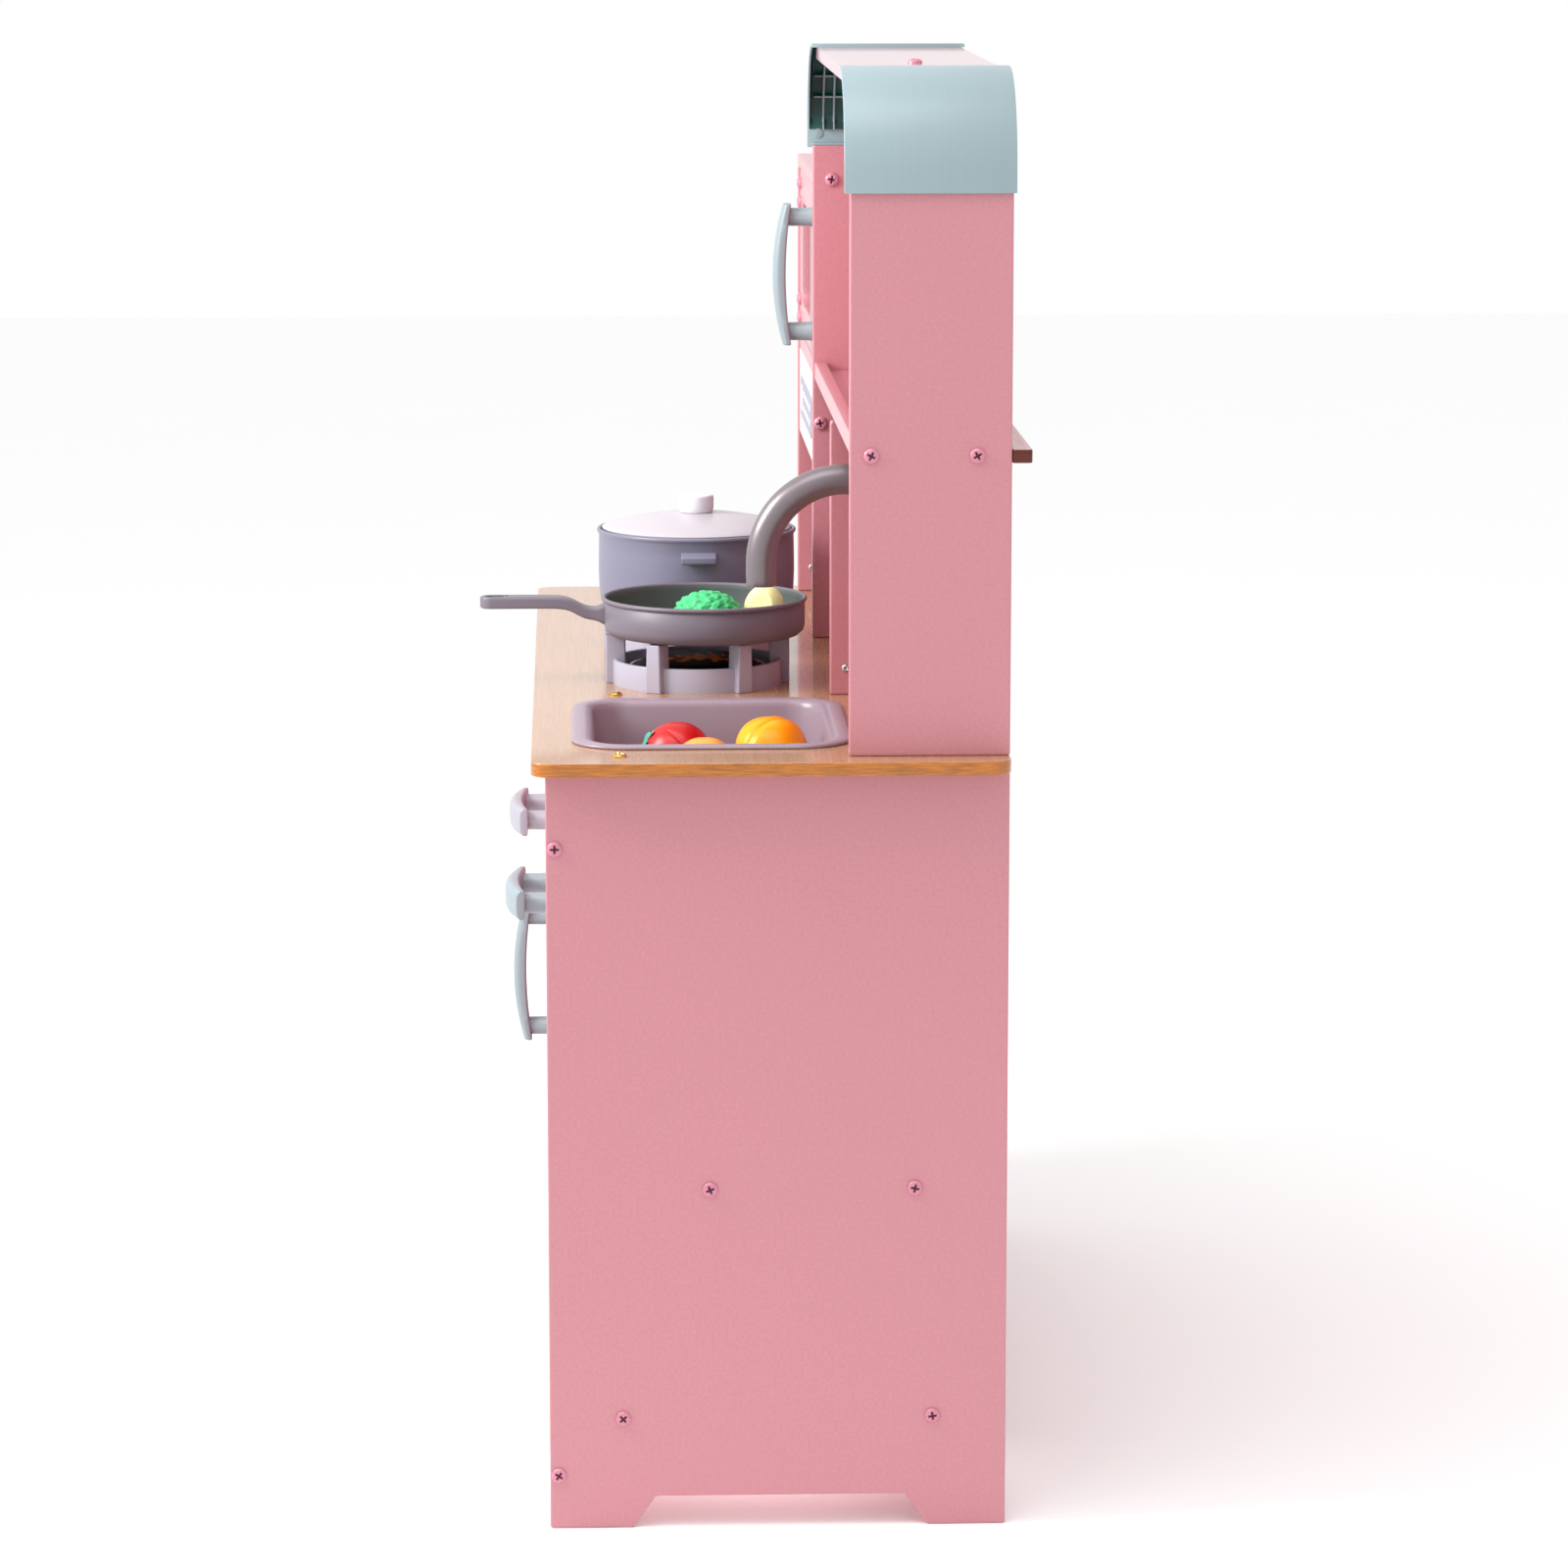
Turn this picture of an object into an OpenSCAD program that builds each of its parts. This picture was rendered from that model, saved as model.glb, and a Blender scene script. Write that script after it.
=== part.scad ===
// Wooden toy kitchen: base cabinet, countertop, hutch, four doors and its play cookware.
// X runs along the width, -Y is the front, +Z is up, and Z = 0 is the floor.

/* [Cabinet] */
// Width across the outer faces of the side panels
body_w = 800; // [700:1:960]
// Depth of the side panels from front edge to back edge
body_d = 298; // [285:1:360]
// Height of the side panels under the countertop
base_h = 502; // [430:1:600]
// Thickness of every painted board
board = 9; // [8:0.5:12]
// Thickness of the hardboard backs
back_t = 3; // [2:0.5:6]
// Clear width of the middle bay
mid_bay = 265; // [220:1:300]
// Setback of doors and front boards behind the panel edges
front_set = 1.3; // [0:0.1:6]
// Height of the control fascia under the countertop
fascia_h = 64; // [40:1:90]
// Height of the mid shelves above the floor, at their centre line
mid_shelf_z = 227; // [150:1:300]
// Setback of the mid shelves from the front edges
mid_shelf_set = 80; // [40:1:120]

/* [Feet] */
// Height of the cut-out between the feet, and of the space under the kick board
foot_h = 21; // [12:1:40]
// Length of the front foot on the floor
foot_front = 54.5; // [35:0.5:80]
// Length of the rear foot on the floor
foot_back = 51; // [35:0.5:80]
// Run of the sloping sides of the cut-out
foot_slope = 14.5; // [4:0.5:30]
// Height of the kick board
kick_h = 48.5; // [30:0.5:70]

/* [Countertop] */
// Thickness of the countertop
top_t = 9; // [7:0.5:18]
// Overhang of the countertop at each side
top_side = 23; // [5:1:40]
// Overhang of the countertop at the front
top_front = 9; // [0:1:20]
// Corner radius of the countertop
top_r = 14; // [4:1:30]

/* [Hutch] */
// Depth of the hutch panels
hutch_d = 103.5; // [95:0.5:140]
// Height of the tall unit above the countertop
tall_h = 436; // [380:1:520]
// Height of the left unit above the countertop
left_h = 340.5; // [300:1:348]
// Height of the shelf above the countertop, at its centre line
shelf_h = 193; // [180:1:210]
// Height of the lip on the front of the shelf
lip_h = 12.5; // [8:0.5:16]
// Height of the display panel under the lip
display_h = 65; // [40:1:80]
// Width of the display label
label_w = 185; // [120:1:230]
// Height of the display label
label_h = 30.5; // [15:0.5:38]
// How far the wooden sill stands out behind the back
sill_out = 13; // [5:1:25]

/* [Corner caps] */
// Radius of the round corner
cap_r = 64; // [50:1:67]
// Wall of the cap
cap_wall = 2.5; // [1.5:0.1:3]
// Straight skirt and corner together: height of the cap
cap_h = 77; // [75:1:90]
// How far the cap stands proud in front of the panels
cap_front = 3.7; // [1:0.1:6]
// How far the cap stands proud behind the panels
cap_back = 1.8; // [0:0.1:5]
// Height of the stiffening ribs inside the cap
rib_h = 5; // [2:0.5:8]
// How far the cap plate laps over the top board
cap_lap = 12; // [6:1:20]

/* [Sink and faucet] */
// Width of the sink rim along X
sink_w = 208; // [170:1:215]
// Length of the sink rim along Y
sink_l = 183; // [150:1:190]
// Corner radius of the sink rim
sink_r = 38; // [25:1:45]
// Width of the flat rim round the basin
sink_rim = 13; // [8:1:18]
// Thickness of the rim and walls of the sink
sink_wall = 2.5; // [1.8:0.1:4]
// Depth of the basin below the countertop surface
sink_depth = 50; // [40:1:70]
// Distance from the front edges to the sink rim
sink_front = 17; // [14:1:25]
// Outer diameter of the faucet tube
spout_d = 20; // [16:1:26]
// Height of the faucet outlet above the countertop
spout_drop = 92.5; // [80:0.5:110]
// Height of the faucet's horizontal run above the countertop
spout_h = 163; // [155:1:170]
// Bend radius of the faucet
spout_bend = 55; // [40:1:60]
// Distance from the front edges to the faucet outlet
spout_front = 143; // [120:1:150]

/* [Burners] */
// Diameter over the six pillars of a burner
burner_d = 128; // [110:1:132]
// Height of the pillars
pillar_h = 33.4; // [25:0.2:45]
// Outer diameter of the burner ring wall
ring_d = 118; // [100:1:120]
// Height of the burner ring wall
ring_h = 17; // [10:0.5:22]
// Distance of each burner's centre from the middle
burner_x = 77; // [76:1:80]
// Distance of the burner centres from the front edges
burner_front = 105; // [95:1:115]

/* [Cookware] */
// Outer diameter of the frying pan
pan_d = 143; // [120:1:145]
// Height of the frying pan
pan_h = 26.8; // [20:0.2:40]
// Reach of the pan handle in front of the cabinet
pan_reach = 46; // [30:1:70]
// Outer diameter of the stock pot
pot_d = 144; // [120:1:145]
// Height of the stock pot
pot_h = 56; // [40:1:80]
// Wall of the cookware
ware_wall = 2; // [1.5:0.1:3]
// Diameter of the knob on the pot lid
knob_d = 25; // [18:1:35]

/* [Doors] */
// Gap round each door
door_gap = 1.5; // [1.2:0.1:3]
// Diameter of the hinge pins
pin_d = 4; // [3:0.5:5]
// Length of each hinge pin inside its door
pin_grip = 12; // [8:1:20]
// Reach of the handles in front of a door
handle_reach = 29; // [24:1:36]
// Width of the handle bars
handle_w = 20; // [16:1:26]
// Diameter of the handle posts
post_d = 13.7; // [10:0.1:15]
// Post spacing of the upright handles
long_post = 84; // [60:1:110]
// Post spacing of the level handles
short_post = 70; // [50:1:100]
// Height of the oven door handle
oven_handle_z = 406; // [385:1:410]
// Height of the sink door handle
sink_handle_z = 398; // [385:1:410]

/* [Fits] */
// Radial clearance of a door on its hinge pin
running_fit = 0.05; // [0.03:0.01:0.1]
// Clearance of a fixed pin or screw in its hole
push_fit = 0.02; // [0.01:0.01:0.05]
// Gap under a piece that only stands or hangs loose
rest_gap = 0.3; // [0.2:0.05:0.6]

/* [Hidden] */
$fn = 64;
fine = 96;
eps = 0.01;

// Places along Y: the pan handle's tip and the back of the sill are the ends of the object.
y_front = pan_reach - (body_d + sill_out + pan_reach) / 2;
y_back = y_front + body_d;
y_hutch = y_back - hutch_d;
y_face = y_front + front_set;
y_axis = y_face + board / 2;
y_inner = y_face + board;
yh_face = y_hutch + front_set;
yh_axis = yh_face + board / 2;
yh_inner = yh_face + board;
yh_back = y_back - back_t;

// Places along X.
x_side = body_w / 2 - board;
x_div = mid_bay / 2 + board / 2;
x_bay_in = mid_bay / 2;
x_bay_out = x_bay_in + board;
x_sink = (x_bay_out + x_side) / 2;
x_tall = -x_bay_out;
x_tall_mid = (x_tall + body_w / 2) / 2;

// Heights.
z_bottom = foot_h + kick_h;
z_floor = z_bottom + board;
z_fascia = base_h - fascia_h;
z_top = base_h + top_t;
z_shelf = z_top + shelf_h - board / 2;
z_lip = z_shelf + board / 2 - 2;
z_left_top = z_top + left_h - board;
z_total = z_top + tall_h;
z_cap = z_total - cap_h;
z_panel = z_cap + 2;
z_lip_top = z_lip + lip_h;

// Doors: the hinge edge is a half round about the pin.
edge_r = board / 2;
base_door_z0 = z_floor + door_gap;
base_door_z1 = z_fascia - door_gap;
base_door_mid = (base_door_z0 + base_door_z1) / 2;
upper_door_z0 = z_lip_top + door_gap;
upper_door_z1 = z_left_top - door_gap;
upper_door_mid = (upper_door_z0 + upper_door_z1) / 2;
drop_axis_z = base_door_z0 + edge_r;
left_axis_x = -x_side + door_gap + edge_r;
free_edge_x = -x_bay_out - door_gap;
pin_seat = board / 2 - 0.5;
pin_depth = pin_grip + 1;
pane_t = 1.5;
pane_lap = 8;
oven_window_size = [175, 190];
oven_window_z = base_door_mid - 24;
upper_window_size = [140, 78];
upper_window_x = (left_axis_x + free_edge_x) / 2 - 10;
window_r = 12;
upright_handle_x = free_edge_x - 30;

// Screws: pan heads on the outside, shanks run into the board ends.
head_d = 9.7;
head_h = 3;
shank_d = 3.5;
screw_len = 30;
shelf_screw_y = [y_hutch + 13.8, y_hutch + 81.4];
bottom_screw_y = [y_front + 48, y_front + 250];
mid_screw_y = [y_front + 105, y_front + 238];
fascia_screw_z = base_h - 50;
kick_screw_z = foot_h + 15;
top_screw_x = x_tall_mid + 93;
top_screw_y = (y_hutch + y_back) / 2;
counter_screw_y = y_front + 47.5;
counter_screw_x = [x_div, body_w / 2 - board / 2];
bracket_y = y_hutch + 10.8;
bracket_z = z_top + 18.5;
catch_size = [12, 11.7, 16];
strap_size = [20, 1.2, 28];
strap_z = [upper_door_z0 + 18, upper_door_z1 - 18];
strap_hole = 7.15;
hinge_screw_x = left_axis_x + 12;

// Burner floor and pillars.
disc_z = 8;
pillar_in = 14;

// Cookware and food stand on the burners, in the pan and in the sink.
y_burner = y_front + burner_front;
z_ware = z_top + pillar_h + rest_gap;
y_pan = y_burner + 5;
y_pot = y_burner + 3;
pan_tip = y_front - pan_reach;
z_pan_floor = z_ware + ware_wall + rest_gap;
z_sink_floor = z_top - sink_depth + rest_gap;
bead = 3.2;
wall_in = 1.5;
lid_gap = 0.4;
lid_r = pot_d / 2 - wall_in - ware_wall - lid_gap;
lid_rise = 11;
seat_w = 2.5;
z_pot_rim = z_ware + pot_h;
y_sink = y_front + sink_front + sink_l / 2;
y_spout = y_front + spout_front;

pink = [0.87, 0.60, 0.64];
mint = [0.68, 0.78, 0.81];
white = [0.93, 0.93, 0.95];
wood = [0.78, 0.56, 0.34];
grey = [0.55, 0.52, 0.56];
lavender = [0.75, 0.72, 0.79];
steel = [0.72, 0.72, 0.74];
brass = [0.80, 0.65, 0.35];
black = [0.08, 0.07, 0.07];
leaf_green = [0.20, 0.75, 0.40];
cream = [0.95, 0.93, 0.65];
red = [0.80, 0.10, 0.12];
orange = [1.00, 0.60, 0.10];
clear_pane = [0.85, 0.90, 0.95, 0.5];

// ---- shared shapes ----

// A block from one corner to the opposite one.
module block(a, b) {
  translate(a) cube(b - a);
}

// Rectangle with round corners, centred on the origin.
module round_rect(size, r) {
  square([size[0] - 2 * r, size[1]], center = true);
  square([size[0], size[1] - 2 * r], center = true);
  for (sx = [-1, 1], sy = [-1, 1])
    translate([sx * (size[0] / 2 - r), sy * (size[1] / 2 - r)]) circle(r);
}

// Pan-head screw along +X, head outside x = 0 and shank inside.
module screw(length = screw_len, head = head_d, shank = shank_d) {
  rotate([0, -90, 0]) cylinder(d = shank, h = length);
  rotate([0, 90, 0]) rotate_extrude() intersection() {
    translate([0, head_h - head * 0.75]) circle(head * 0.75);
    square([head / 2, head_h]);
  }
}

// The hole that a screw's shank takes.
module screw_hole(length = screw_len, shank = shank_d) {
  translate([eps, 0, 0]) rotate([0, -90, 0]) cylinder(d = shank + 2 * push_fit, h = length + 1);
}

// Copies its child at every screw of the right side, and mirrored at the left.
module at_side_screws() {
  for (side = [0, 1]) mirror([side, 0, 0]) translate([body_w / 2, 0, 0]) {
    translate([0, y_axis, fascia_screw_z]) children();
    translate([0, y_axis, kick_screw_z]) children();
    for (y = mid_screw_y) translate([0, y, mid_shelf_z]) children();
    for (y = bottom_screw_y) translate([0, y, z_bottom + board / 2]) children();
    for (y = shelf_screw_y) translate([0, y, z_shelf + board / 2]) children();
  }
}

// Copies its child at the screws that run left through the tall unit's left panel.
module at_middle_screws() {
  for (y = shelf_screw_y) translate([-x_bay_in, y, z_left_top + board / 2]) children();
  translate([-x_bay_in, yh_axis, z_lip - display_h / 2]) children();
}

// Every pan-head screw that holds the boards together.
module at_panel_screws() {
  at_side_screws() children();
  at_middle_screws() children();
  translate([top_screw_x, top_screw_y, z_total - cap_wall]) rotate([0, -90, 0]) children();
}

module at_counter_screws() {
  for (sx = [-1, 1], x = counter_screw_x)
    translate([sx * x, counter_screw_y, z_top]) rotate([0, -90, 0]) children();
}

// Small screws low on the inner faces of the hutch panels.
module at_bracket_screws() {
  for (x = [-x_side, x_bay_out]) translate([x, bracket_y, bracket_z]) children();
  for (x = [-x_bay_out, x_side])
    translate([x, bracket_y, bracket_z]) mirror([1, 0, 0]) children();
}

// Hinge pins: [position of the door's edge, direction from the door into the cabinet].
door_pins = [
  for (s = [-1, 1]) [[x_sink + s * ((x_side - x_bay_out) / 2 - door_gap), y_axis, drop_axis_z], [s, 0, 0]],
  for (s = [-1, 1]) [[s * (x_bay_in - door_gap), y_axis, drop_axis_z], [s, 0, 0]],
  [[left_axis_x, y_axis, base_door_z0], [0, 0, -1]],
  [[left_axis_x, y_axis, base_door_z1], [0, 0, 1]],
  [[left_axis_x, yh_axis, upper_door_z0], [0, 0, -1]],
  [[left_axis_x, yh_axis, upper_door_z1], [0, 0, 1]]
];

// Cylinders on the hinge pins' axes, from inside the door to inside the board.
module pin_shapes(radius, inside, outside) {
  for (pin = door_pins) translate(pin[0])
    rotate(pin[1][0] != 0 ? [0, 90 * pin[1][0], 0] : [pin[1][2] > 0 ? 0 : 180, 0, 0])
      translate([0, 0, -inside]) cylinder(r = radius, h = inside + door_gap + outside);
}

// Holes in the fixed boards for hinge pins and screws.
module board_holes() {
  pin_shapes(pin_d / 2 + push_fit, 0, pin_seat + 0.2);
  at_panel_screws() screw_hole();
  at_counter_screws() screw_hole();
  at_bracket_screws() screw_hole(6, 2);
}

module drilled_block(a, b) {
  difference() {
    block(a, b);
    board_holes();
  }
}

// ---- base cabinet ----

module side_panel(side) {
  mirror([side < 0 ? 1 : 0, 0, 0]) difference() {
    translate([x_side, 0, 0]) rotate([90, 0, 90]) linear_extrude(board) polygon([
      [y_front, 0], [y_front + foot_front, 0], [y_front + foot_front + foot_slope, foot_h],
      [y_back - foot_back - foot_slope, foot_h], [y_back - foot_back, 0], [y_back, 0],
      [y_back, base_h], [y_front, base_h]
    ]);
    board_holes();
  }
}

module side_panel_right() { color(pink) side_panel(1); }
module side_panel_left() { color(pink) side_panel(-1); }

module divider(side) {
  difference() {
    drilled_block([side * x_div - board / 2, y_face, z_floor],
                  [side * x_div + board / 2, y_back - back_t, base_h]);
    block([side * x_div - board, y_face - 1, z_fascia], [side * x_div + board, y_inner, base_h + 1]);
  }
}

module divider_right() { color(pink) divider(1); }
module divider_left() { color(pink) divider(-1); }

module bottom_board() {
  color(pink) drilled_block([-x_side, y_face, z_bottom], [x_side, y_back - back_t, z_floor]);
}

module kick_board() {
  color(pink) drilled_block([-x_side, y_face, foot_h], [x_side, y_inner, z_bottom]);
}

module front_fascia() {
  color(pink) drilled_block([-x_side, y_face, z_fascia], [x_side, y_inner, base_h]);
}

module base_back_panel() {
  color(pink) block([-x_side, y_back - back_t, foot_h], [x_side, y_back, base_h]);
}

module mid_shelf(x0, x1) {
  drilled_block([x0, y_front + mid_shelf_set, mid_shelf_z - board / 2],
                [x1, y_back - back_t, mid_shelf_z + board / 2]);
}

module shelf_right_bay() { color(pink) mid_shelf(x_bay_out, x_side); }
module shelf_middle_bay() { color(pink) mid_shelf(-x_bay_in, x_bay_in); }
module shelf_left_bay() { color(pink) mid_shelf(-x_side, -x_bay_out); }

module countertop() {
  top_w = body_w + 2 * top_side;
  top_d = body_d + top_front;
  color(wood) difference() {
    translate([0, y_back - top_d / 2, base_h]) linear_extrude(top_t)
      round_rect([top_w, top_d], top_r);
    translate([x_sink, y_sink, base_h - 1]) linear_extrude(top_t + 2)
      round_rect([sink_w - 2 * sink_rim + 1, sink_l - 2 * sink_rim + 1], sink_r - sink_rim + 0.5);
    at_counter_screws() screw_hole();
  }
}

// ---- hutch ----

module hutch_panel(x, z1) {
  drilled_block([x - board / 2, y_hutch, z_top], [x + board / 2, y_back, z1]);
}

module hutch_side_right() { color(pink) hutch_panel(x_side + board / 2, z_panel); }
module hutch_side_middle() { color(pink) hutch_panel(-x_div, z_panel); }
module hutch_side_left() { color(pink) hutch_panel(-x_side - board / 2, z_left_top); }

module hutch_divider() {
  color(pink) drilled_block([x_div - board / 2, y_hutch, z_top], [x_div + board / 2, yh_back, z_shelf]);
}

module hutch_shelf() {
  color(pink) drilled_block([-x_bay_in, yh_inner, z_shelf], [x_side, yh_back, z_shelf + board]);
}

module left_unit_shelf() {
  color(pink) drilled_block([-x_side, yh_inner, z_shelf], [-x_bay_out, yh_back, z_shelf + board]);
}

module shelf_lips() {
  color(pink) {
    drilled_block([-x_bay_in, yh_face, z_lip], [x_side, yh_inner, z_lip_top]);
    drilled_block([-x_side, yh_face, z_lip], [-x_bay_out, yh_inner, z_lip_top]);
  }
}

module left_unit_top() {
  color(pink) drilled_block([-body_w / 2, y_hutch, z_left_top], [-x_bay_out, y_back, z_left_top + board]);
}

module display_panel() {
  color(white) drilled_block([-x_side, yh_face, z_lip - display_h], [-x_bay_out, yh_inner, z_lip]);
}

module display_label() {
  label_x = -(x_side + x_bay_out) / 2;
  label_z = z_lip - display_h / 2 - 1;
  label_t = 0.6;
  label_r = 4;
  color(lavender) translate([label_x, yh_face, label_z]) rotate([90, 0, 0])
    linear_extrude(label_t) round_rect([label_w, label_h], label_r);
}

module hutch_top_board() {
  color(pink) drilled_block([x_tall + cap_r - cap_wall, y_hutch, z_total - cap_wall - board],
                            [body_w / 2 - cap_r + cap_wall, y_back, z_total - cap_wall]);
}

// Outline of the cap in X and Z, from the skirt round the corner to the end of the plate.
// The corner of the panel it covers is at x = 0, and the cap lies towards -x.
module cap_outline(inset) {
  arc_x = cap_wall - cap_r;
  arc_z = cap_h - cap_r;
  intersection() {
    union() {
      translate([arc_x, arc_z]) circle(cap_r - inset);
      translate([arc_x - cap_r, -1]) square([2 * cap_r - inset, arc_z + 1]);
    }
    translate([arc_x, -1]) square([cap_r, cap_h + 2]);
  }
  translate([arc_x - cap_lap, -1]) square([cap_lap, cap_h + 1 - inset]);
}

module cap_section(outer, inner) {
  difference() {
    cap_outline(outer);
    cap_outline(inner);
    translate([-2 * cap_r, -2]) square([4 * cap_r, 2]);
  }
}

module corner_cap() {
  y0 = y_hutch - cap_front;
  cap_l = hutch_d + cap_front + cap_back;
  band = 18;
  rib = 1.6;
  rib_end = 16;
  rib_pitch = (hutch_d - 2 * rib_end + 2) / 2;
  level_rib_z = 36;
  level_rib_pitch = 15.3;
  clear = 2 * cap_r;
  translate([0, y0 + cap_l, z_cap]) rotate([90, 0, 0]) linear_extrude(cap_l) cap_section(0, cap_wall);
  // ledge that stands on the panel's top edge
  block([-board, y_hutch, z_panel], [cap_wall / 2, y_back, z_panel + rib]);
  // ribs that run round the corner, clear of the smooth band at the foot and of the top board
  difference() {
    for (k = [0, 1, 2]) translate([0, y_hutch + rib_end + k * rib_pitch, z_cap])
      rotate([90, 0, 0]) linear_extrude(rib) cap_section(cap_wall / 2, cap_wall + rib_h);
    block([-clear, y0 - 1, z_cap - 1], [cap_wall + 1, y_back + cap_r, z_cap + band]);
    block([-clear, y0 - 1, z_total - cap_wall - board - rest_gap],
          [cap_wall - cap_r + rest_gap, y_back + cap_r, z_total + 1]);
  }
  // level ribs
  difference() {
    for (k = [0, 1]) translate([-cap_r / 2, y_hutch, z_cap + level_rib_z + level_rib_pitch * k])
      cube([cap_r / 2 + cap_wall, hutch_d, rib]);
    translate([0, y_back + 1, z_cap]) rotate([90, 0, 0]) linear_extrude(hutch_d + 2) {
      cap_outline(cap_wall + rib_h);
      difference() {
        translate([-clear, -1]) square([2 * clear, clear]);
        cap_outline(cap_wall / 2);
      }
    }
  }
}

module corner_cap_right() { color(mint) translate([body_w / 2, 0, 0]) corner_cap(); }
module corner_cap_left() { color(mint) translate([x_tall, 0, 0]) mirror([1, 0, 0]) corner_cap(); }

module hutch_back_panel() {
  color(pink) {
    block([-x_bay_in, yh_back, z_top], [x_side, y_back, z_panel]);
    block([-x_side, yh_back, z_top], [-x_bay_out, y_back, z_left_top]);
  }
}

module rear_sill() {
  color(wood) block([-body_w / 2, y_back, z_shelf - 0.5],
                    [body_w / 2, y_back + sill_out, z_shelf - 0.5 + board]);
}

// ---- sink, faucet and burners ----

module sink_basin() {
  in_w = sink_w - 2 * sink_rim;
  in_l = sink_l - 2 * sink_rim;
  in_r = sink_r - sink_rim;
  color(lavender) translate([x_sink, y_sink, z_top]) difference() {
    union() {
      linear_extrude(sink_wall) round_rect([sink_w, sink_l], sink_r);
      translate([0, 0, -sink_depth - sink_wall]) linear_extrude(sink_depth + sink_wall + eps)
        round_rect([in_w, in_l], in_r);
    }
    translate([0, 0, -sink_depth]) linear_extrude(sink_depth + sink_wall + 1)
      round_rect([in_w - 2 * sink_wall, in_l - 2 * sink_wall], in_r - sink_wall);
  }
}

module faucet_spout() {
  z_run = z_top + spout_h;
  y_bend = y_spout + spout_bend;
  color(steel) difference() {
    union() {
      translate([x_sink, y_spout, z_top + spout_drop])
        cylinder(d = spout_d, h = spout_h - spout_bend - spout_drop);
      translate([x_sink, y_bend, z_run - spout_bend]) rotate([90, 0, -90])
        rotate_extrude(angle = 90) translate([spout_bend, 0]) circle(d = spout_d);
      translate([x_sink, y_bend, z_run]) rotate([-90, 0, 0]) cylinder(d = spout_d, h = yh_back - y_bend);
    }
    translate([x_sink, y_spout, z_top + spout_drop - 1]) cylinder(d = spout_d - 4, h = 13);
  }
}

module faucet_flange() {
  flange_t = 4;
  color(steel) translate([x_sink, yh_back - flange_t, z_top + spout_h]) rotate([-90, 0, 0]) difference() {
    cylinder(d = spout_d + 16, h = flange_t);
    translate([0, 0, -1]) cylinder(d = spout_d + 2 * push_fit, h = flange_t + 2);
  }
}

// Burner: floor disc, ring wall and six pillars, two of them on the Y axis.
module burner(x) {
  wall = 3;
  translate([x, y_burner, z_top]) difference() {
    union() {
      cylinder(d = ring_d, h = ring_h);
      intersection() {
        cylinder(d = burner_d, h = pillar_h);
        pillars(pillar_h);
      }
    }
    difference() {
      translate([0, 0, disc_z]) cylinder(d = ring_d - 2 * wall, h = pillar_h);
      pillars(2 * pillar_h);
    }
  }
}

// The six pillars, from the floor of the burner up to a height.
module pillars(height) {
  pillar_w = 12;
  for (k = [0:5]) rotate([0, 0, 30 + 60 * k])
    translate([burner_d / 2 - pillar_in, -pillar_w / 2, 0]) cube([pillar_in, pillar_w, height]);
}

module burner_right() { color(lavender) burner(burner_x); }
module burner_left() { color(lavender) burner(-burner_x); }

module flame_discs() {
  disc_d = burner_d - 2 * pillar_in - 4;
  disc_h = 9;
  color(black) for (sx = [-1, 1])
    translate([sx * burner_x, y_burner, z_top + disc_z]) cylinder(d1 = disc_d, d2 = disc_d - 22, h = disc_h);
}

// ---- hinges, catches and screws ----

module hinge_pins() {
  color(steel) pin_shapes(pin_d / 2, pin_grip, pin_seat);
}

module magnet_catch(x0, y_door, z1) {
  translate([x0, y_door + rest_gap, z1 - 2 - catch_size[2]]) cube(catch_size);
}

module door_magnets() {
  color(white) {
    magnet_catch(x_bay_out, y_inner, base_door_z1);
    magnet_catch(x_bay_in - catch_size[0], y_inner, base_door_z1);
    magnet_catch(-x_bay_out - catch_size[0], y_inner, base_door_z1);
    magnet_catch(-x_bay_out - catch_size[0], yh_inner, upper_door_z1);
  }
}

module panel_screws() { color(pink) at_panel_screws() screw(); }
module counter_screws() { color(brass) at_counter_screws() screw(); }
module bracket_screws() { color(steel) at_bracket_screws() screw(5, 5, 2); }

// ---- doors ----

// Door with its half-round hinge edge at the bottom.
module drop_door(x0, x1) {
  difference() {
    union() {
      block([x0, y_face, drop_axis_z], [x1, y_inner, base_door_z1]);
      translate([x0, y_axis, drop_axis_z]) rotate([0, 90, 0]) cylinder(r = edge_r, h = x1 - x0);
    }
    pin_shapes(pin_d / 2 + running_fit, pin_depth, 0);
  }
}

// Door with its half-round hinge edge at the left.
module side_door(y_mid, z0, z1) {
  difference() {
    union() {
      block([left_axis_x, y_mid - board / 2, z0], [free_edge_x, y_mid + board / 2, z1]);
      translate([left_axis_x, y_mid, z0]) cylinder(r = edge_r, h = z1 - z0);
    }
    pin_shapes(pin_d / 2 + running_fit, pin_depth, 0);
  }
}

// Bow handle on a face at y = 0, reaching to -y: two posts and a bar bowed between two arcs.
module bow_handle(spacing) {
  overhang = 9.75;
  half = spacing / 2 + overhang;
  outer_bow = 7.5;
  inner_bow = 4;
  bar_t = 9.4;
  outer_r = (half * half / outer_bow + outer_bow) / 2;
  inner_r = (half * half / inner_bow + inner_bow) / 2;
  bar_in = handle_reach - bar_t;
  intersection() {
    translate([0, 0, -handle_w / 2]) linear_extrude(handle_w) difference() {
      translate([0, outer_r - handle_reach]) circle(outer_r, $fn = 4 * fine);
      translate([0, inner_r - bar_in]) circle(inner_r, $fn = 4 * fine);
    }
    translate([-half, -handle_reach - 1, -handle_w / 2]) cube([2 * half, handle_reach, handle_w]);
  }
  for (s = [-1, 1]) translate([s * spacing / 2, 0, 0]) rotate([90, 0, 0])
    cylinder(d = post_d, h = bar_in);
}

module sink_door() {
  color(pink) drop_door(x_bay_out + door_gap, x_side - door_gap);
}

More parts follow.
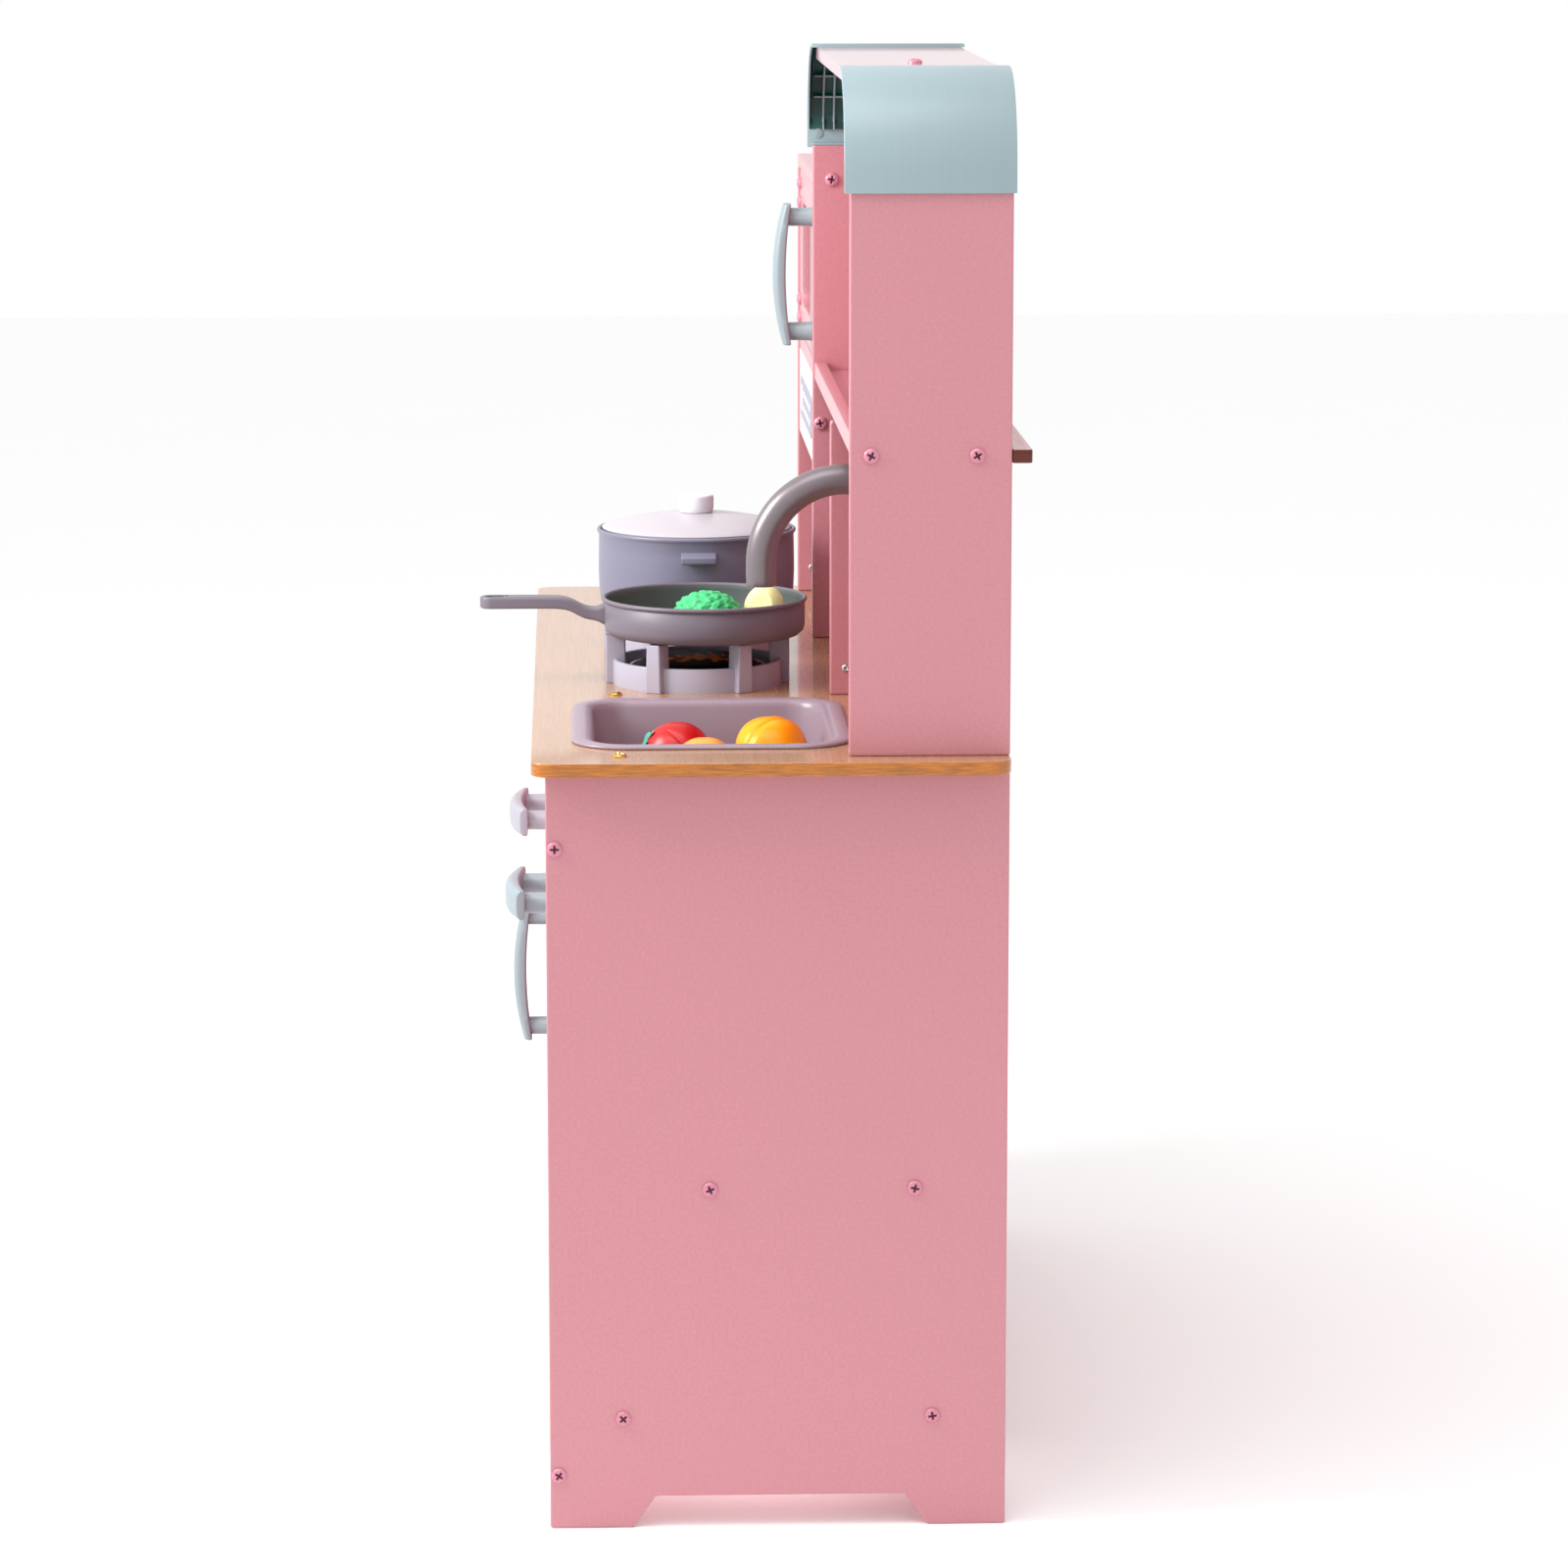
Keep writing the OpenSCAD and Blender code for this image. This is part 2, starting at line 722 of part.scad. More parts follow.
module sink_door_handle() {
  color(mint) translate([x_sink, y_face, sink_handle_z]) bow_handle(short_post);
}

module oven_door() {
  color(pink) difference() {
    drop_door(-x_bay_in + door_gap, x_bay_in - door_gap);
    translate([0, y_inner + 1, oven_window_z]) rotate([90, 0, 0])
      linear_extrude(board + 2) round_rect(oven_window_size, window_r);
  }
}

module oven_window() {
  pane = oven_window_size + [2 * pane_lap, 2 * pane_lap];
  color(clear_pane) translate([0, y_inner + pane_t, oven_window_z]) rotate([90, 0, 0])
    linear_extrude(pane_t) round_rect(pane, window_r);
}

module oven_door_handle() {
  color(white) translate([0, y_face, oven_handle_z]) bow_handle(short_post);
}

module pantry_door() { color(pink) side_door(y_axis, base_door_z0, base_door_z1); }

module pantry_door_handle() {
  color(mint) translate([upright_handle_x, y_face, base_door_mid - 4]) rotate([0, 90, 0])
    bow_handle(long_post);
}

module microwave_door() {
  color(pink) difference() {
    side_door(yh_axis, upper_door_z0, upper_door_z1);
    translate([upper_window_x, yh_inner + 1, upper_door_mid]) rotate([90, 0, 0])
      linear_extrude(board + 2) round_rect(upper_window_size, window_r);
    at_hinge_screws() screw_hole(board);
  }
}

module microwave_window() {
  pane = upper_window_size + [2 * pane_lap, 2 * pane_lap];
  color(clear_pane) translate([upper_window_x, yh_inner + pane_t, upper_door_mid])
    rotate([90, 0, 0]) linear_extrude(pane_t) round_rect(pane, window_r);
}

module microwave_door_handle() {
  color(mint) translate([upright_handle_x, yh_face, upper_door_mid - 3]) rotate([0, 90, 0])
    bow_handle(long_post);
}

module at_hinge_screws() {
  for (z = strap_z, s = [-1, 1])
    translate([hinge_screw_x, yh_face, z + s * strap_hole]) rotate([0, 0, -90]) children();
}

module microwave_hinge_straps() {
  color(steel) difference() {
    for (z = strap_z)
      translate([hinge_screw_x - strap_size[0] / 2, yh_inner, z - strap_size[2] / 2]) cube(strap_size);
    at_hinge_screws() screw_hole(board + strap_size[1]);
  }
}

module microwave_hinge_screws() {
  color(pink) at_hinge_screws() screw(board + strap_size[1]);
}

// ---- cookware ----

// Open vessel: wall, floor and a rolled bead at the rim.
module vessel(d, h, foot) {
  rotate_extrude($fn = fine) difference() {
    union() {
      polygon([[0, 0], [d / 2 - foot, 0], [d / 2 - wall_in, foot], [d / 2 - wall_in, h - bead / 2],
               [0, h - bead / 2]]);
      translate([d / 2 - bead / 2, h - bead / 2]) circle(d = bead, $fn = fine / 4);
    }
    polygon([[-1, ware_wall], [d / 2 - foot - ware_wall / 2, ware_wall],
             [d / 2 - wall_in - ware_wall, foot + ware_wall / 2], [d / 2 - wall_in - ware_wall, h + 1],
             [-1, h + 1]]);
  }
}

// Pan handle: an S-shaped strip from the wall to its tip, with a hanging slot.
module pan_handle() {
  z_low = z_ware + pan_h - 11.8;
  z_high = z_ware + pan_h - 5.3;
  thick = 6;
  wide = 17;
  root = y_pan - pan_d / 2 + wall_in + ware_wall / 2;
  knee = root - 14;
  level = knee - 16;
  slot_y = pan_tip + 13;
  slot_size = [8, 14];
  slot_r = 3.9;
  difference() {
    translate([burner_x - wide / 2, 0, 0]) rotate([90, 0, 90]) linear_extrude(wide) polygon([
      [root, z_low - 3], [root, z_low + thick], [knee, z_low + thick + 1], [level, z_high + thick],
      [pan_tip + 2, z_high + thick], [pan_tip, z_high + thick - 2], [pan_tip, z_high + 1],
      [pan_tip + 2, z_high], [level, z_high], [knee, z_low]
    ]);
    translate([burner_x, slot_y, z_high - 1]) linear_extrude(thick + 2) round_rect(slot_size, slot_r);
  }
}

module frying_pan() {
  color(grey) {
    translate([burner_x, y_pan, z_ware]) vessel(pan_d, pan_h, 6);
    pan_handle();
  }
}

module stock_pot() {
  tab = [9, 25, 5];
  tab_drop = 12;
  seat_r = pot_d / 2 - wall_in - ware_wall;
  seat_t = 2;
  color(grey) translate([-burner_x, y_pot, z_ware]) {
    vessel(pot_d, pot_h, 4);
    for (s = [-1, 1])
      translate([s * (pot_d / 2 + tab[0] / 2 - wall_in - ware_wall / 2), 0, pot_h - tab_drop])
        cube(tab, center = true);
    // inner ledge that the lid's edge stands on
    translate([0, 0, pot_h - ware_wall - rest_gap - seat_t]) rotate_extrude($fn = fine)
      translate([seat_r - seat_w, 0]) square([seat_w + 1, seat_t]);
  }
}

// Domed lid that drops inside the pot's bead onto the inner ledge.
module pot_lid() {
  dome_r = (lid_r * lid_r + lid_rise * lid_rise) / (2 * lid_rise);
  color(lavender) translate([-burner_x, y_pot, z_pot_rim - bead]) rotate_extrude($fn = fine) intersection() {
    difference() {
      translate([0, lid_rise - dome_r + bead]) circle(dome_r, $fn = 4 * fine);
      translate([0, lid_rise - dome_r + bead - ware_wall]) circle(dome_r, $fn = 4 * fine);
    }
    square([lid_r, lid_rise + bead + 1]);
  }
}

module lid_knob() {
  z0 = z_pot_rim + lid_rise;
  knob_h = 12.5;
  foot_in = 3;
  top_in = 2;
  color(white) translate([-burner_x, y_pot, z0]) rotate_extrude() polygon([
    [0, 0], [knob_d / 2 - foot_in, 0], [knob_d / 2, foot_in], [knob_d / 2, knob_h - top_in],
    [knob_d / 2 - top_in, knob_h], [0, knob_h]
  ]);
}

// ---- play food ----

// Round-bottomed food: a squashed ball cut flat where it lies.
module squashed(rx, rz, cut) {
  rows = 16;
  intersection() {
    translate([0, 0, rz - cut]) rotate_extrude($fn = fine / 2)
      polygon([for (k = [0:rows]) [rx * sin(180 * k / rows), rz * cos(180 * k / rows)]]);
    translate([-2 * rx, -2 * rx, 0]) cube([4 * rx, 4 * rx, 2 * rz]);
  }
}

module toy_broccoli() {
  color(leaf_green) translate([burner_x + 2, y_pan + 2, z_pan_floor]) squashed(24, 16.7, 5);
}

module toy_potato() {
  color(cream) translate([burner_x - 6, y_pan + 42, z_pan_floor]) squashed(14.5, 17, 3);
}

module toy_tomato() {
  color(red) translate([x_sink - 8, y_sink - 21, z_sink_floor]) squashed(24, 27, 4);
}

module toy_pepper() {
  color(orange) translate([x_sink - 4, y_sink + 40, z_sink_floor]) squashed(27, 29, 4);
}

module toy_carrot() {
  color(orange) translate([x_sink + 38, y_sink - 4, z_sink_floor]) squashed(20, 25.3, 4);
}

side_panel_right();
side_panel_left();
divider_right();
divider_left();
bottom_board();
kick_board();
front_fascia();
base_back_panel();
shelf_right_bay();
shelf_middle_bay();
shelf_left_bay();
countertop();
hutch_side_right();
hutch_side_middle();
hutch_side_left();
hutch_divider();
hutch_shelf();
left_unit_shelf();
shelf_lips();
left_unit_top();
display_panel();
display_label();
hutch_top_board();
corner_cap_right();
corner_cap_left();
hutch_back_panel();
rear_sill();
sink_basin();
faucet_spout();
faucet_flange();
burner_right();
burner_left();
flame_discs();
hinge_pins();
door_magnets();
panel_screws();
counter_screws();
bracket_screws();
sink_door();
sink_door_handle();
oven_door();
oven_window();
oven_door_handle();
pantry_door();
pantry_door_handle();
microwave_door();
microwave_window();
microwave_door_handle();
microwave_hinge_straps();
microwave_hinge_screws();
frying_pan();
stock_pot();
pot_lid();
lid_knob();
toy_broccoli();
toy_potato();
toy_tomato();
toy_pepper();
toy_carrot();
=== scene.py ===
import math

import bmesh
import bpy
import numpy as np
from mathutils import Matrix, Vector


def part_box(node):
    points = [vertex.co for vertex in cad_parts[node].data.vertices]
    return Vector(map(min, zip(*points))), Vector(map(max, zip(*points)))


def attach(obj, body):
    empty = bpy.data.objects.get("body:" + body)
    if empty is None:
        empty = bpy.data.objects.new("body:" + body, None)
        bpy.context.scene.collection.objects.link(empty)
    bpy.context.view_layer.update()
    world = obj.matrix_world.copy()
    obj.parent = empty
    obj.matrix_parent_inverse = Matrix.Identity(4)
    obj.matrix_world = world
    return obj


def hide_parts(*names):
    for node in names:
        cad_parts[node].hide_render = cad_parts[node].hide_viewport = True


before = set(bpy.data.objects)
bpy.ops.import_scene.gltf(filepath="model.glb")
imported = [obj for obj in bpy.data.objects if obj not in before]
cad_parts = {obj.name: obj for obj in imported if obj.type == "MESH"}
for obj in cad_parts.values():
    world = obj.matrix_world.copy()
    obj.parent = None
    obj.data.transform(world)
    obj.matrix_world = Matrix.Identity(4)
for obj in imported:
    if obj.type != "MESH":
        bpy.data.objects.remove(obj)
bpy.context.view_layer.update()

# ---- Studio ---------------------------------------------------------------------------
# A pale floor in an even white surround, a soft key light high on the sink side, one in
# front that reaches into the hutch, and a small one under the cabinet for the floor there.
# The camera stands level with the cabinet's sink side and looks slightly down.

scene = bpy.context.scene
scene.view_settings.view_transform = "Standard"

side_face_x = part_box("side_panel_right")[1].x
cabinet_front_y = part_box("side_panel_right")[0].y
eye = Vector((side_face_x + 3.424, cabinet_front_y + 0.020, 1.082))
eye_yaw, eye_pitch = 0.0388, 0.1701
look = Vector((-math.cos(eye_yaw) * math.cos(eye_pitch),
               math.sin(eye_yaw) * math.cos(eye_pitch),
               -math.sin(eye_pitch)))
camera_data = bpy.data.cameras.new("camera")
camera_data.sensor_width = 36.0
camera_data.lens = 124.67
camera_data.clip_end = 50
camera = bpy.data.objects.new("camera", camera_data)
camera.location = eye
camera.rotation_euler = look.to_track_quat("-Z", "Y").to_euler()
scene.collection.objects.link(camera)
scene.camera = camera

world = bpy.data.worlds.new("white surround")
world.use_nodes = True
world.node_tree.nodes["Background"].inputs["Color"].default_value = (1, 1, 1, 1)
world.node_tree.nodes["Background"].inputs["Strength"].default_value = 1.0
scene.world = world

for light_name, where, aim, size, watts in (
    ("key", (1.1, -0.5, 2.9), (0.2, 0.0, 0.5), 1.6, 22.0),
    ("front", (0.36, -1.05, 1.25), (-0.1, 0.1, 0.85), 0.6, 20.0),
    ("under_cabinet", (0.24, 0.0, 0.058), (0.30, 0.0, 0.0), 0.20, 0.5),
):
    lamp = bpy.data.lights.new(light_name, "AREA")
    lamp.size = size
    lamp.energy = watts
    lamp_object = bpy.data.objects.new(light_name, lamp)
    lamp_object.location = where
    lamp_object.rotation_euler = (Vector(aim) - Vector(where)).to_track_quat("-Z", "Y").to_euler()
    scene.collection.objects.link(lamp_object)


# ---- Painted boards -------------------------------------------------------------------
# The carcass is 9 mm medium-density fibreboard, sawn to size, eased at the edges and foiled
# in satin pink. The boards butt together and are held by screws through the side panels.

class Field:
    """A shader socket that can be used in arithmetic: each operator adds one Math node."""

    def __init__(self, finish, socket):
        self.finish = finish
        self.socket = socket

    def math(self, operation, first, second):
        return self.finish.node("ShaderNodeMath", {"operation": operation}, {0: first, 1: second})

    def __add__(self, other):
        return self.math("ADD", self, other)

    def __mul__(self, other):
        return self.math("MULTIPLY", self, other)

    def __sub__(self, other):
        return self.math("SUBTRACT", self, other)

    def __rsub__(self, other):
        return self.math("SUBTRACT", other, self)

    __radd__ = __add__
    __rmul__ = __mul__

    def band(self, low, high):
        """0 below low and 1 above high, with a smooth step between."""
        return self.finish.node("ShaderNodeMapRange", {"interpolation_type": "SMOOTHSTEP"},
                                {0: self, 1: low, 2: high, 3: 0.0, 4: 1.0})


def srgb(red, green, blue):
    """A colour given as 0 to 255 display values, as linear red, green, blue and alpha."""
    c = np.array((red, green, blue)) / 255
    linear = np.where(c <= 0.04045, c / 12.92, ((c + 0.055) / 1.055) ** 2.4)
    return (*linear.tolist(), 1.0)


class Finish:
    """One material: a principled shader and the nodes that feed it."""

    def __init__(self, name, color, roughness=0.4, **settings):
        self.material = bpy.data.materials.new(name)
        self.material.use_nodes = True
        self.tree = self.material.node_tree
        self.shader = self.tree.nodes["Principled BSDF"]
        self.color = color
        self.set("Base Color", color)
        self.set("Roughness", roughness)
        for key, value in settings.items():
            self.set(key.replace("_", " "), value)
        self.place = self.node("ShaderNodeTexCoord", {}, {}, "Object")

    def node(self, kind, settings, values, output=0):
        """Adds any node: its settings first, then the value or link of each socket."""
        made = self.tree.nodes.new(kind)
        for key, value in settings.items():
            if key == "stops":
                ramp = made.color_ramp.elements
                while len(ramp) < len(value):
                    ramp.new(0.5)
                for stop, (position, color) in zip(ramp, value):
                    stop.position, stop.color = position, color
            else:
                setattr(made, key, value)
        for key, value in values.items():
            self.feed(made.inputs[key], value)
        return Field(self, made.outputs[output])

    def feed(self, socket, value):
        """Links a field to a socket, or writes a plain value into it."""
        if isinstance(value, Field):
            self.tree.links.new(value.socket, socket)
        else:
            socket.default_value = value

    def set(self, name, value):
        """Feeds one of the principled shader's own sockets."""
        self.feed(self.shader.inputs[name], value)

    def stretched(self, scale, centre=(0, 0, 0)):
        """Object coordinates about a centre, scaled along each axis."""
        shift = tuple(-c * s for c, s in zip(centre, scale))
        return self.node("ShaderNodeMapping", {},
                         {"Vector": self.place, "Location": shift, "Scale": scale})

    def noise(self, scale, detail=2.0, rough=0.5, stretch=(1, 1, 1)):
        """Even noise from 0 to 1, with a feature every 1/scale metres."""
        return self.node("ShaderNodeTexNoise", {}, {"Vector": self.stretched(stretch), "Scale": scale,
                                                    "Detail": detail, "Roughness": rough})

    def painted(self):
        """The shade painted on the mesh's points: 0 on plain surfaces and 1 where it's marked."""
        return self.node("ShaderNodeAttribute", {"attribute_name": "shade"}, {}, "Fac")

    def mix(self, factor, first, second):
        """A colour between first and second, by factor."""
        return self.node("ShaderNodeMix", {"data_type": "RGBA"}, {0: factor, 6: first, 7: second}, 2)

    def shade(self, amount, by):
        """The base colour, darker by up to amount where the field is 0 and lighter where it's 1."""
        dark = tuple(c * (1 - amount) for c in self.color[:3]) + (1.0,)
        light = tuple(min(1.0, c * (1 + amount)) for c in self.color[:3]) + (1.0,)
        return self.mix(by, dark, light)

    def bump(self, height, strength, distance=0.001):
        """Tilts the normal as a surface that rises by up to distance would."""
        self.set("Normal", self.node("ShaderNodeBump", {}, {"Height": height, "Strength": strength,
                                                             "Distance": distance}))


def board_finish(name, color, speckle=0.06, roughness=0.34):
    """Satin foil over fibreboard: a fine print speckle, broad roller shading and orange peel."""
    foil = Finish(name, color, roughness, Coat_Weight=0.35, Coat_Roughness=0.10)
    fine = foil.noise(450, 3, 0.7)
    broad = foil.noise(14, 2)
    foil.set("Base Color", foil.shade(speckle, fine.band(0.3, 0.7) * 0.8 + broad * 0.2))
    foil.set("Roughness", roughness - 0.06 + fine * 0.12)
    foil.bump(foil.noise(700, 2), 0.16, 0.0005)
    return foil.material


pink_foil = board_finish("pink foil", srgb(195, 128, 137))


def rounded(points, radius, steps=4, support=0.0006):
    """An outline whose corners are replaced by arcs of a radius, tangent to both sides.

    Each arc is a spherical blend between its two tangent points about its centre, with one
    more point on each straight side so that flat faces shade flat.
    """
    p = np.array(points, float)
    radius = np.broadcast_to(radius, len(p)).astype(float)
    back = np.roll(p, 1, 0) - p
    ahead = np.roll(p, -1, 0) - p
    u = back / np.linalg.norm(back, axis=1)[:, None]
    v = ahead / np.linalg.norm(ahead, axis=1)[:, None]
    half = np.arccos(np.clip((u * v).sum(1), -1, 1)) / 2
    reach = (radius / np.tan(half))[:, None]
    centre = p + (u + v) / np.linalg.norm(u + v, axis=1)[:, None] * (radius / np.sin(half))[:, None]
    first, last = p + u * reach - centre, p + v * reach - centre
    turn = (math.pi - 2 * half)[:, None, None]
    k = np.linspace(0, 1, steps + 1)[None, :, None]
    arcs = (np.sin((1 - k) * turn) * first[:, None] + np.sin(k * turn) * last[:, None]) / np.sin(turn)
    arcs = arcs + centre[:, None]
    before = (p + u * (reach + support))[:, None]
    after = (p + v * (reach + support))[:, None]
    return np.concatenate((before, arcs, after), axis=1).reshape(-1, 2)


def rectangle(a0, a1, b0, b1, radius=0.0019, steps=4, support=0.0006):
    """A rectangle from a0 to a1 across and b0 to b1 up, with rounded corners."""
    return rounded([(a0, b0), (a1, b0), (a1, b1), (a0, b1)], radius, steps, support)


def inset(outline, distance):
    """Moves each point of a closed outline inwards along its mitre, by distance."""
    edge = np.roll(outline, -1, 0) - outline
    edge /= np.maximum(np.linalg.norm(edge, axis=1), 1e-12)[:, None]
    normal = np.stack((edge[:, 1], -edge[:, 0]), 1)
    before = np.roll(normal, 1, 0)
    mitre = (normal + before) / np.maximum(1 + (normal * before).sum(1), 0.2)[:, None]
    return outline - mitre * distance


def area(outline):
    """The shoelace sum: above 0 where the outline runs anticlockwise."""
    a, b = outline, np.roll(outline, -1, 0)
    return (a[:, 0] * b[:, 1] - a[:, 1] * b[:, 0]).sum() / 2


def ring_faces(rows, columns):
    """Quads of a grid whose columns wrap round."""
    r, c = np.meshgrid(np.arange(rows - 1), np.arange(columns), indexing="ij")
    r1, c1 = r + 1, (c + 1) % columns
    quads = np.stack((r * columns + c, r * columns + c1, r1 * columns + c1, r1 * columns + c), -1)
    return quads.reshape(-1, 4).tolist()


def slab(outlines, axis, low, high, edge=0.0011, steps=3):
    """A plate of constant thickness along an axis, with eased edges and any holes.

    Its outlines turn on arcs wider than 1.5 * edge, the most that any row is drawn in.

    Each outline is repeated in rows: the row at angle t of an edge is drawn in by
    edge * (1 - sin t) and lies edge * (1 - cos t) inside the plate's face.
    """
    t = np.linspace(0, math.pi / 2, steps + 1)
    draw = np.concatenate(([edge * 1.5], edge * (1 - np.sin(t))))
    rise = np.concatenate(([0.0], edge * (1 - np.cos(t))))
    draw = np.concatenate((draw, draw[::-1]))
    place = np.concatenate((low + rise, (high - rise)[::-1]))
    points, faces, fills = [], [], ([], [])
    start = 0
    for number, outline in enumerate(outlines):
        anticlockwise = area(outline) > 0
        outline = outline if anticlockwise == (number == 0) else outline[::-1]
        flat = np.stack([inset(outline, d) for d in draw])
        depth = np.broadcast_to(place[:, None, None], (*flat.shape[:2], 1))
        order = {"x": (2, 0, 1), "y": (0, 2, 1), "z": (0, 1, 2)}[axis]
        points.append(np.concatenate((flat, depth), 2)[..., order].reshape(-1, 3))
        count = len(outline)
        faces += (np.array(ring_faces(len(draw), count)) + start).tolist()
        fills[0].append(list(range(start, start + count)))
        start += len(draw) * count
        fills[1].append(list(range(start - count, start)))
    return np.concatenate(points), faces, fills


def plank(low, high, edge=0.0011):
    """A sawn board between two corners: a slab across its thinnest side."""
    low, high = np.array(low), np.array(high)
    thin = int(np.argmin(high - low))
    a, b = [k for k in range(3) if k != thin]
    outline = rectangle(low[a], high[a], low[b], high[b], edge * 1.7)
    return slab([outline], "xyz"[thin], low[thin], high[thin], edge)


def turned(profile, centre, axis="z", sides=64):
    """A turned shape: each (radius, height) of the profile goes once round the axis."""
    profile = np.array(profile, float)
    angle = np.linspace(0, 2 * math.pi, sides, endpoint=False)
    across = profile[:, :1] * np.cos(angle)
    along = profile[:, :1] * np.sin(angle)
    up = np.broadcast_to(profile[:, 1:], across.shape)
    order = {"z": (across, along, up), "y": (across, up, along), "x": (up, across, along)}[axis]
    points = np.stack(order, -1).reshape(-1, 3) + np.array(centre)
    return points, ring_faces(len(profile), sides), ([], [])


def make(name, parts, body, finish, replaces=(), sharp=38):
    """Joins closed parts into one piece, turns its faces outwards and fixes it to its body.

    A part is its points, its quads, its flat ends and, if any are marked, each point's shade.
    A flat end is one outline, or an outline and its holes with the face between them.
    """
    points, faces, shades, pierced = [], [], [], []
    start = 0
    for part_points, quads, ends, *marked in parts:
        ends = [[[start + k for k in loop] for loop in end] for end in ends]
        faces += (np.array(quads) + start).tolist() + [end[0] for end in ends if len(end) == 1]
        pierced += [end for end in ends if len(end) > 1]
        points.append(part_points)
        shades.append(marked[0] if marked else np.zeros(len(part_points)))
        start += len(part_points)
    mesh = bpy.data.meshes.new(name)
    mesh.from_pydata(np.concatenate(points), [], faces)
    shade = mesh.attributes.new("shade", "FLOAT", "POINT")
    shade.data.foreach_set("value", np.concatenate(shades).astype(np.float32))
    shape = bmesh.new()
    shape.from_mesh(mesh)
    shape.verts.ensure_lookup_table()
    for loops in pierced:
        rims = [shape.edges.get((shape.verts[k], shape.verts[after]))
                for loop in loops for k, after in zip(loop, loop[1:] + loop[:1])]
        bmesh.ops.triangle_fill(shape, use_beauty=True, edges=rims)
    bmesh.ops.remove_doubles(shape, verts=shape.verts, dist=1e-6)
    bmesh.ops.dissolve_degenerate(shape, edges=shape.edges, dist=1e-7)
    bmesh.ops.recalc_face_normals(shape, faces=shape.faces)
    shape.to_mesh(mesh)
    shape.free()
    mesh.polygons.foreach_set("use_smooth", np.ones(len(mesh.polygons), bool))
    mesh.set_sharp_from_angle(angle=math.radians(sharp))
    mesh.materials.append(finish)
    piece = bpy.data.objects.new(name, mesh)
    scene.collection.objects.link(piece)
    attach(piece, body)
    if replaces:
        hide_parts(*replaces)
    return piece


foot_front, foot_back, foot_slope = 0.0545, 0.051, 0.0145
foot_height = 0.021
low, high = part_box("side_panel_right")
side_outline = rounded([
    (low.y, low.z), (low.y + foot_front, low.z), (low.y + foot_front + foot_slope, low.z + foot_height),
    (high.y - foot_back - foot_slope, low.z + foot_height), (high.y - foot_back, low.z),
    (high.y, low.z), (high.y, high.z), (low.y, high.z)], 0.0019)
for side in ("right", "left"):
    low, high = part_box("side_panel_" + side)
    make("side_panel_" + side + "_foiled", [slab([side_outline], "x", low.x, high.x)],
         "cabinet", pink_foil, ["side_panel_" + side])

fascia_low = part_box("front_fascia")[0]
fascia_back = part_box("front_fascia")[1].y
for side in ("right", "left"):
    low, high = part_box("divider_" + side)
    outline = rounded([(low.y, low.z), (high.y, low.z), (high.y, high.z), (fascia_back, high.z),
                       (fascia_back, fascia_low.z), (low.y, fascia_low.z)], 0.0019)
    make("divider_" + side + "_foiled", [slab([outline], "x", low.x, high.x)],
         "cabinet", pink_foil, ["divider_" + side])

for board_name in ("bottom_board", "kick_board", "front_fascia", "shelf_right_bay", "shelf_middle_bay",
                   "shelf_left_bay", "hutch_side_right", "hutch_side_middle", "hutch_side_left",
                   "hutch_divider", "hutch_shelf", "left_unit_shelf", "left_unit_top"):
    make(board_name + "_foiled", [plank(*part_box(board_name))], "cabinet", pink_foil,
         [board_name])

low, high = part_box("shelf_lips")
bay_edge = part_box("hutch_side_middle")
make("shelf_lips_foiled", [
    plank((bay_edge[1].x, low.y, low.z), tuple(high)),
    plank(tuple(low), (bay_edge[0].x, high.y, high.z))], "cabinet", pink_foil, ["shelf_lips"])

# The hardboard backs are thinner and slide in between the panels.
low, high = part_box("hutch_back_panel")
low_unit_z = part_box("left_unit_top")[0].z
make("hutch_back_foiled", [
    plank((bay_edge[1].x, low.y, low.z), tuple(high), 0.0004),
    plank(tuple(low), (bay_edge[0].x, high.y, low_unit_z), 0.0004)],
    "cabinet", pink_foil, ["hutch_back_panel"])
make("base_back_foiled", [plank(*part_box("base_back_panel"), 0.0004)], "cabinet", pink_foil,
     ["base_back_panel"])

# ---- Top board ------------------------------------------------------------------------
# The hutch is closed by one board that bridges the two corner caps. Its foil was rolled on
# lengthwise, and the roller left faint ridges along it.

top_foil = Finish("pink foil rolled", srgb(172, 124, 134), 0.20, Coat_Weight=0.5, Coat_Roughness=0.06)
ridges = top_foil.noise(40, 3, 0.6, (0.4, 9, 9))
top_foil.set("Base Color", top_foil.shade(0.10, ridges * 0.7 + top_foil.noise(1400, 2) * 0.3))
top_foil.bump(ridges, 0.25, 0.0006)
make("hutch_top_foiled", [plank(*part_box("hutch_top_board"))], "cabinet", top_foil.material,
     ["hutch_top_board"])

# ---- Display panel --------------------------------------------------------------------
# A white foiled board under the shelf's lip, with a thin printed label stuck on its front.
# The label shows only plain shapes: a square and two rows of dashes.

white_foil = board_finish("white foil", srgb(226, 225, 233), 0.03)
make("display_panel_foiled", [plank(*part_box("display_panel"))], "cabinet", white_foil,
     ["display_panel"])

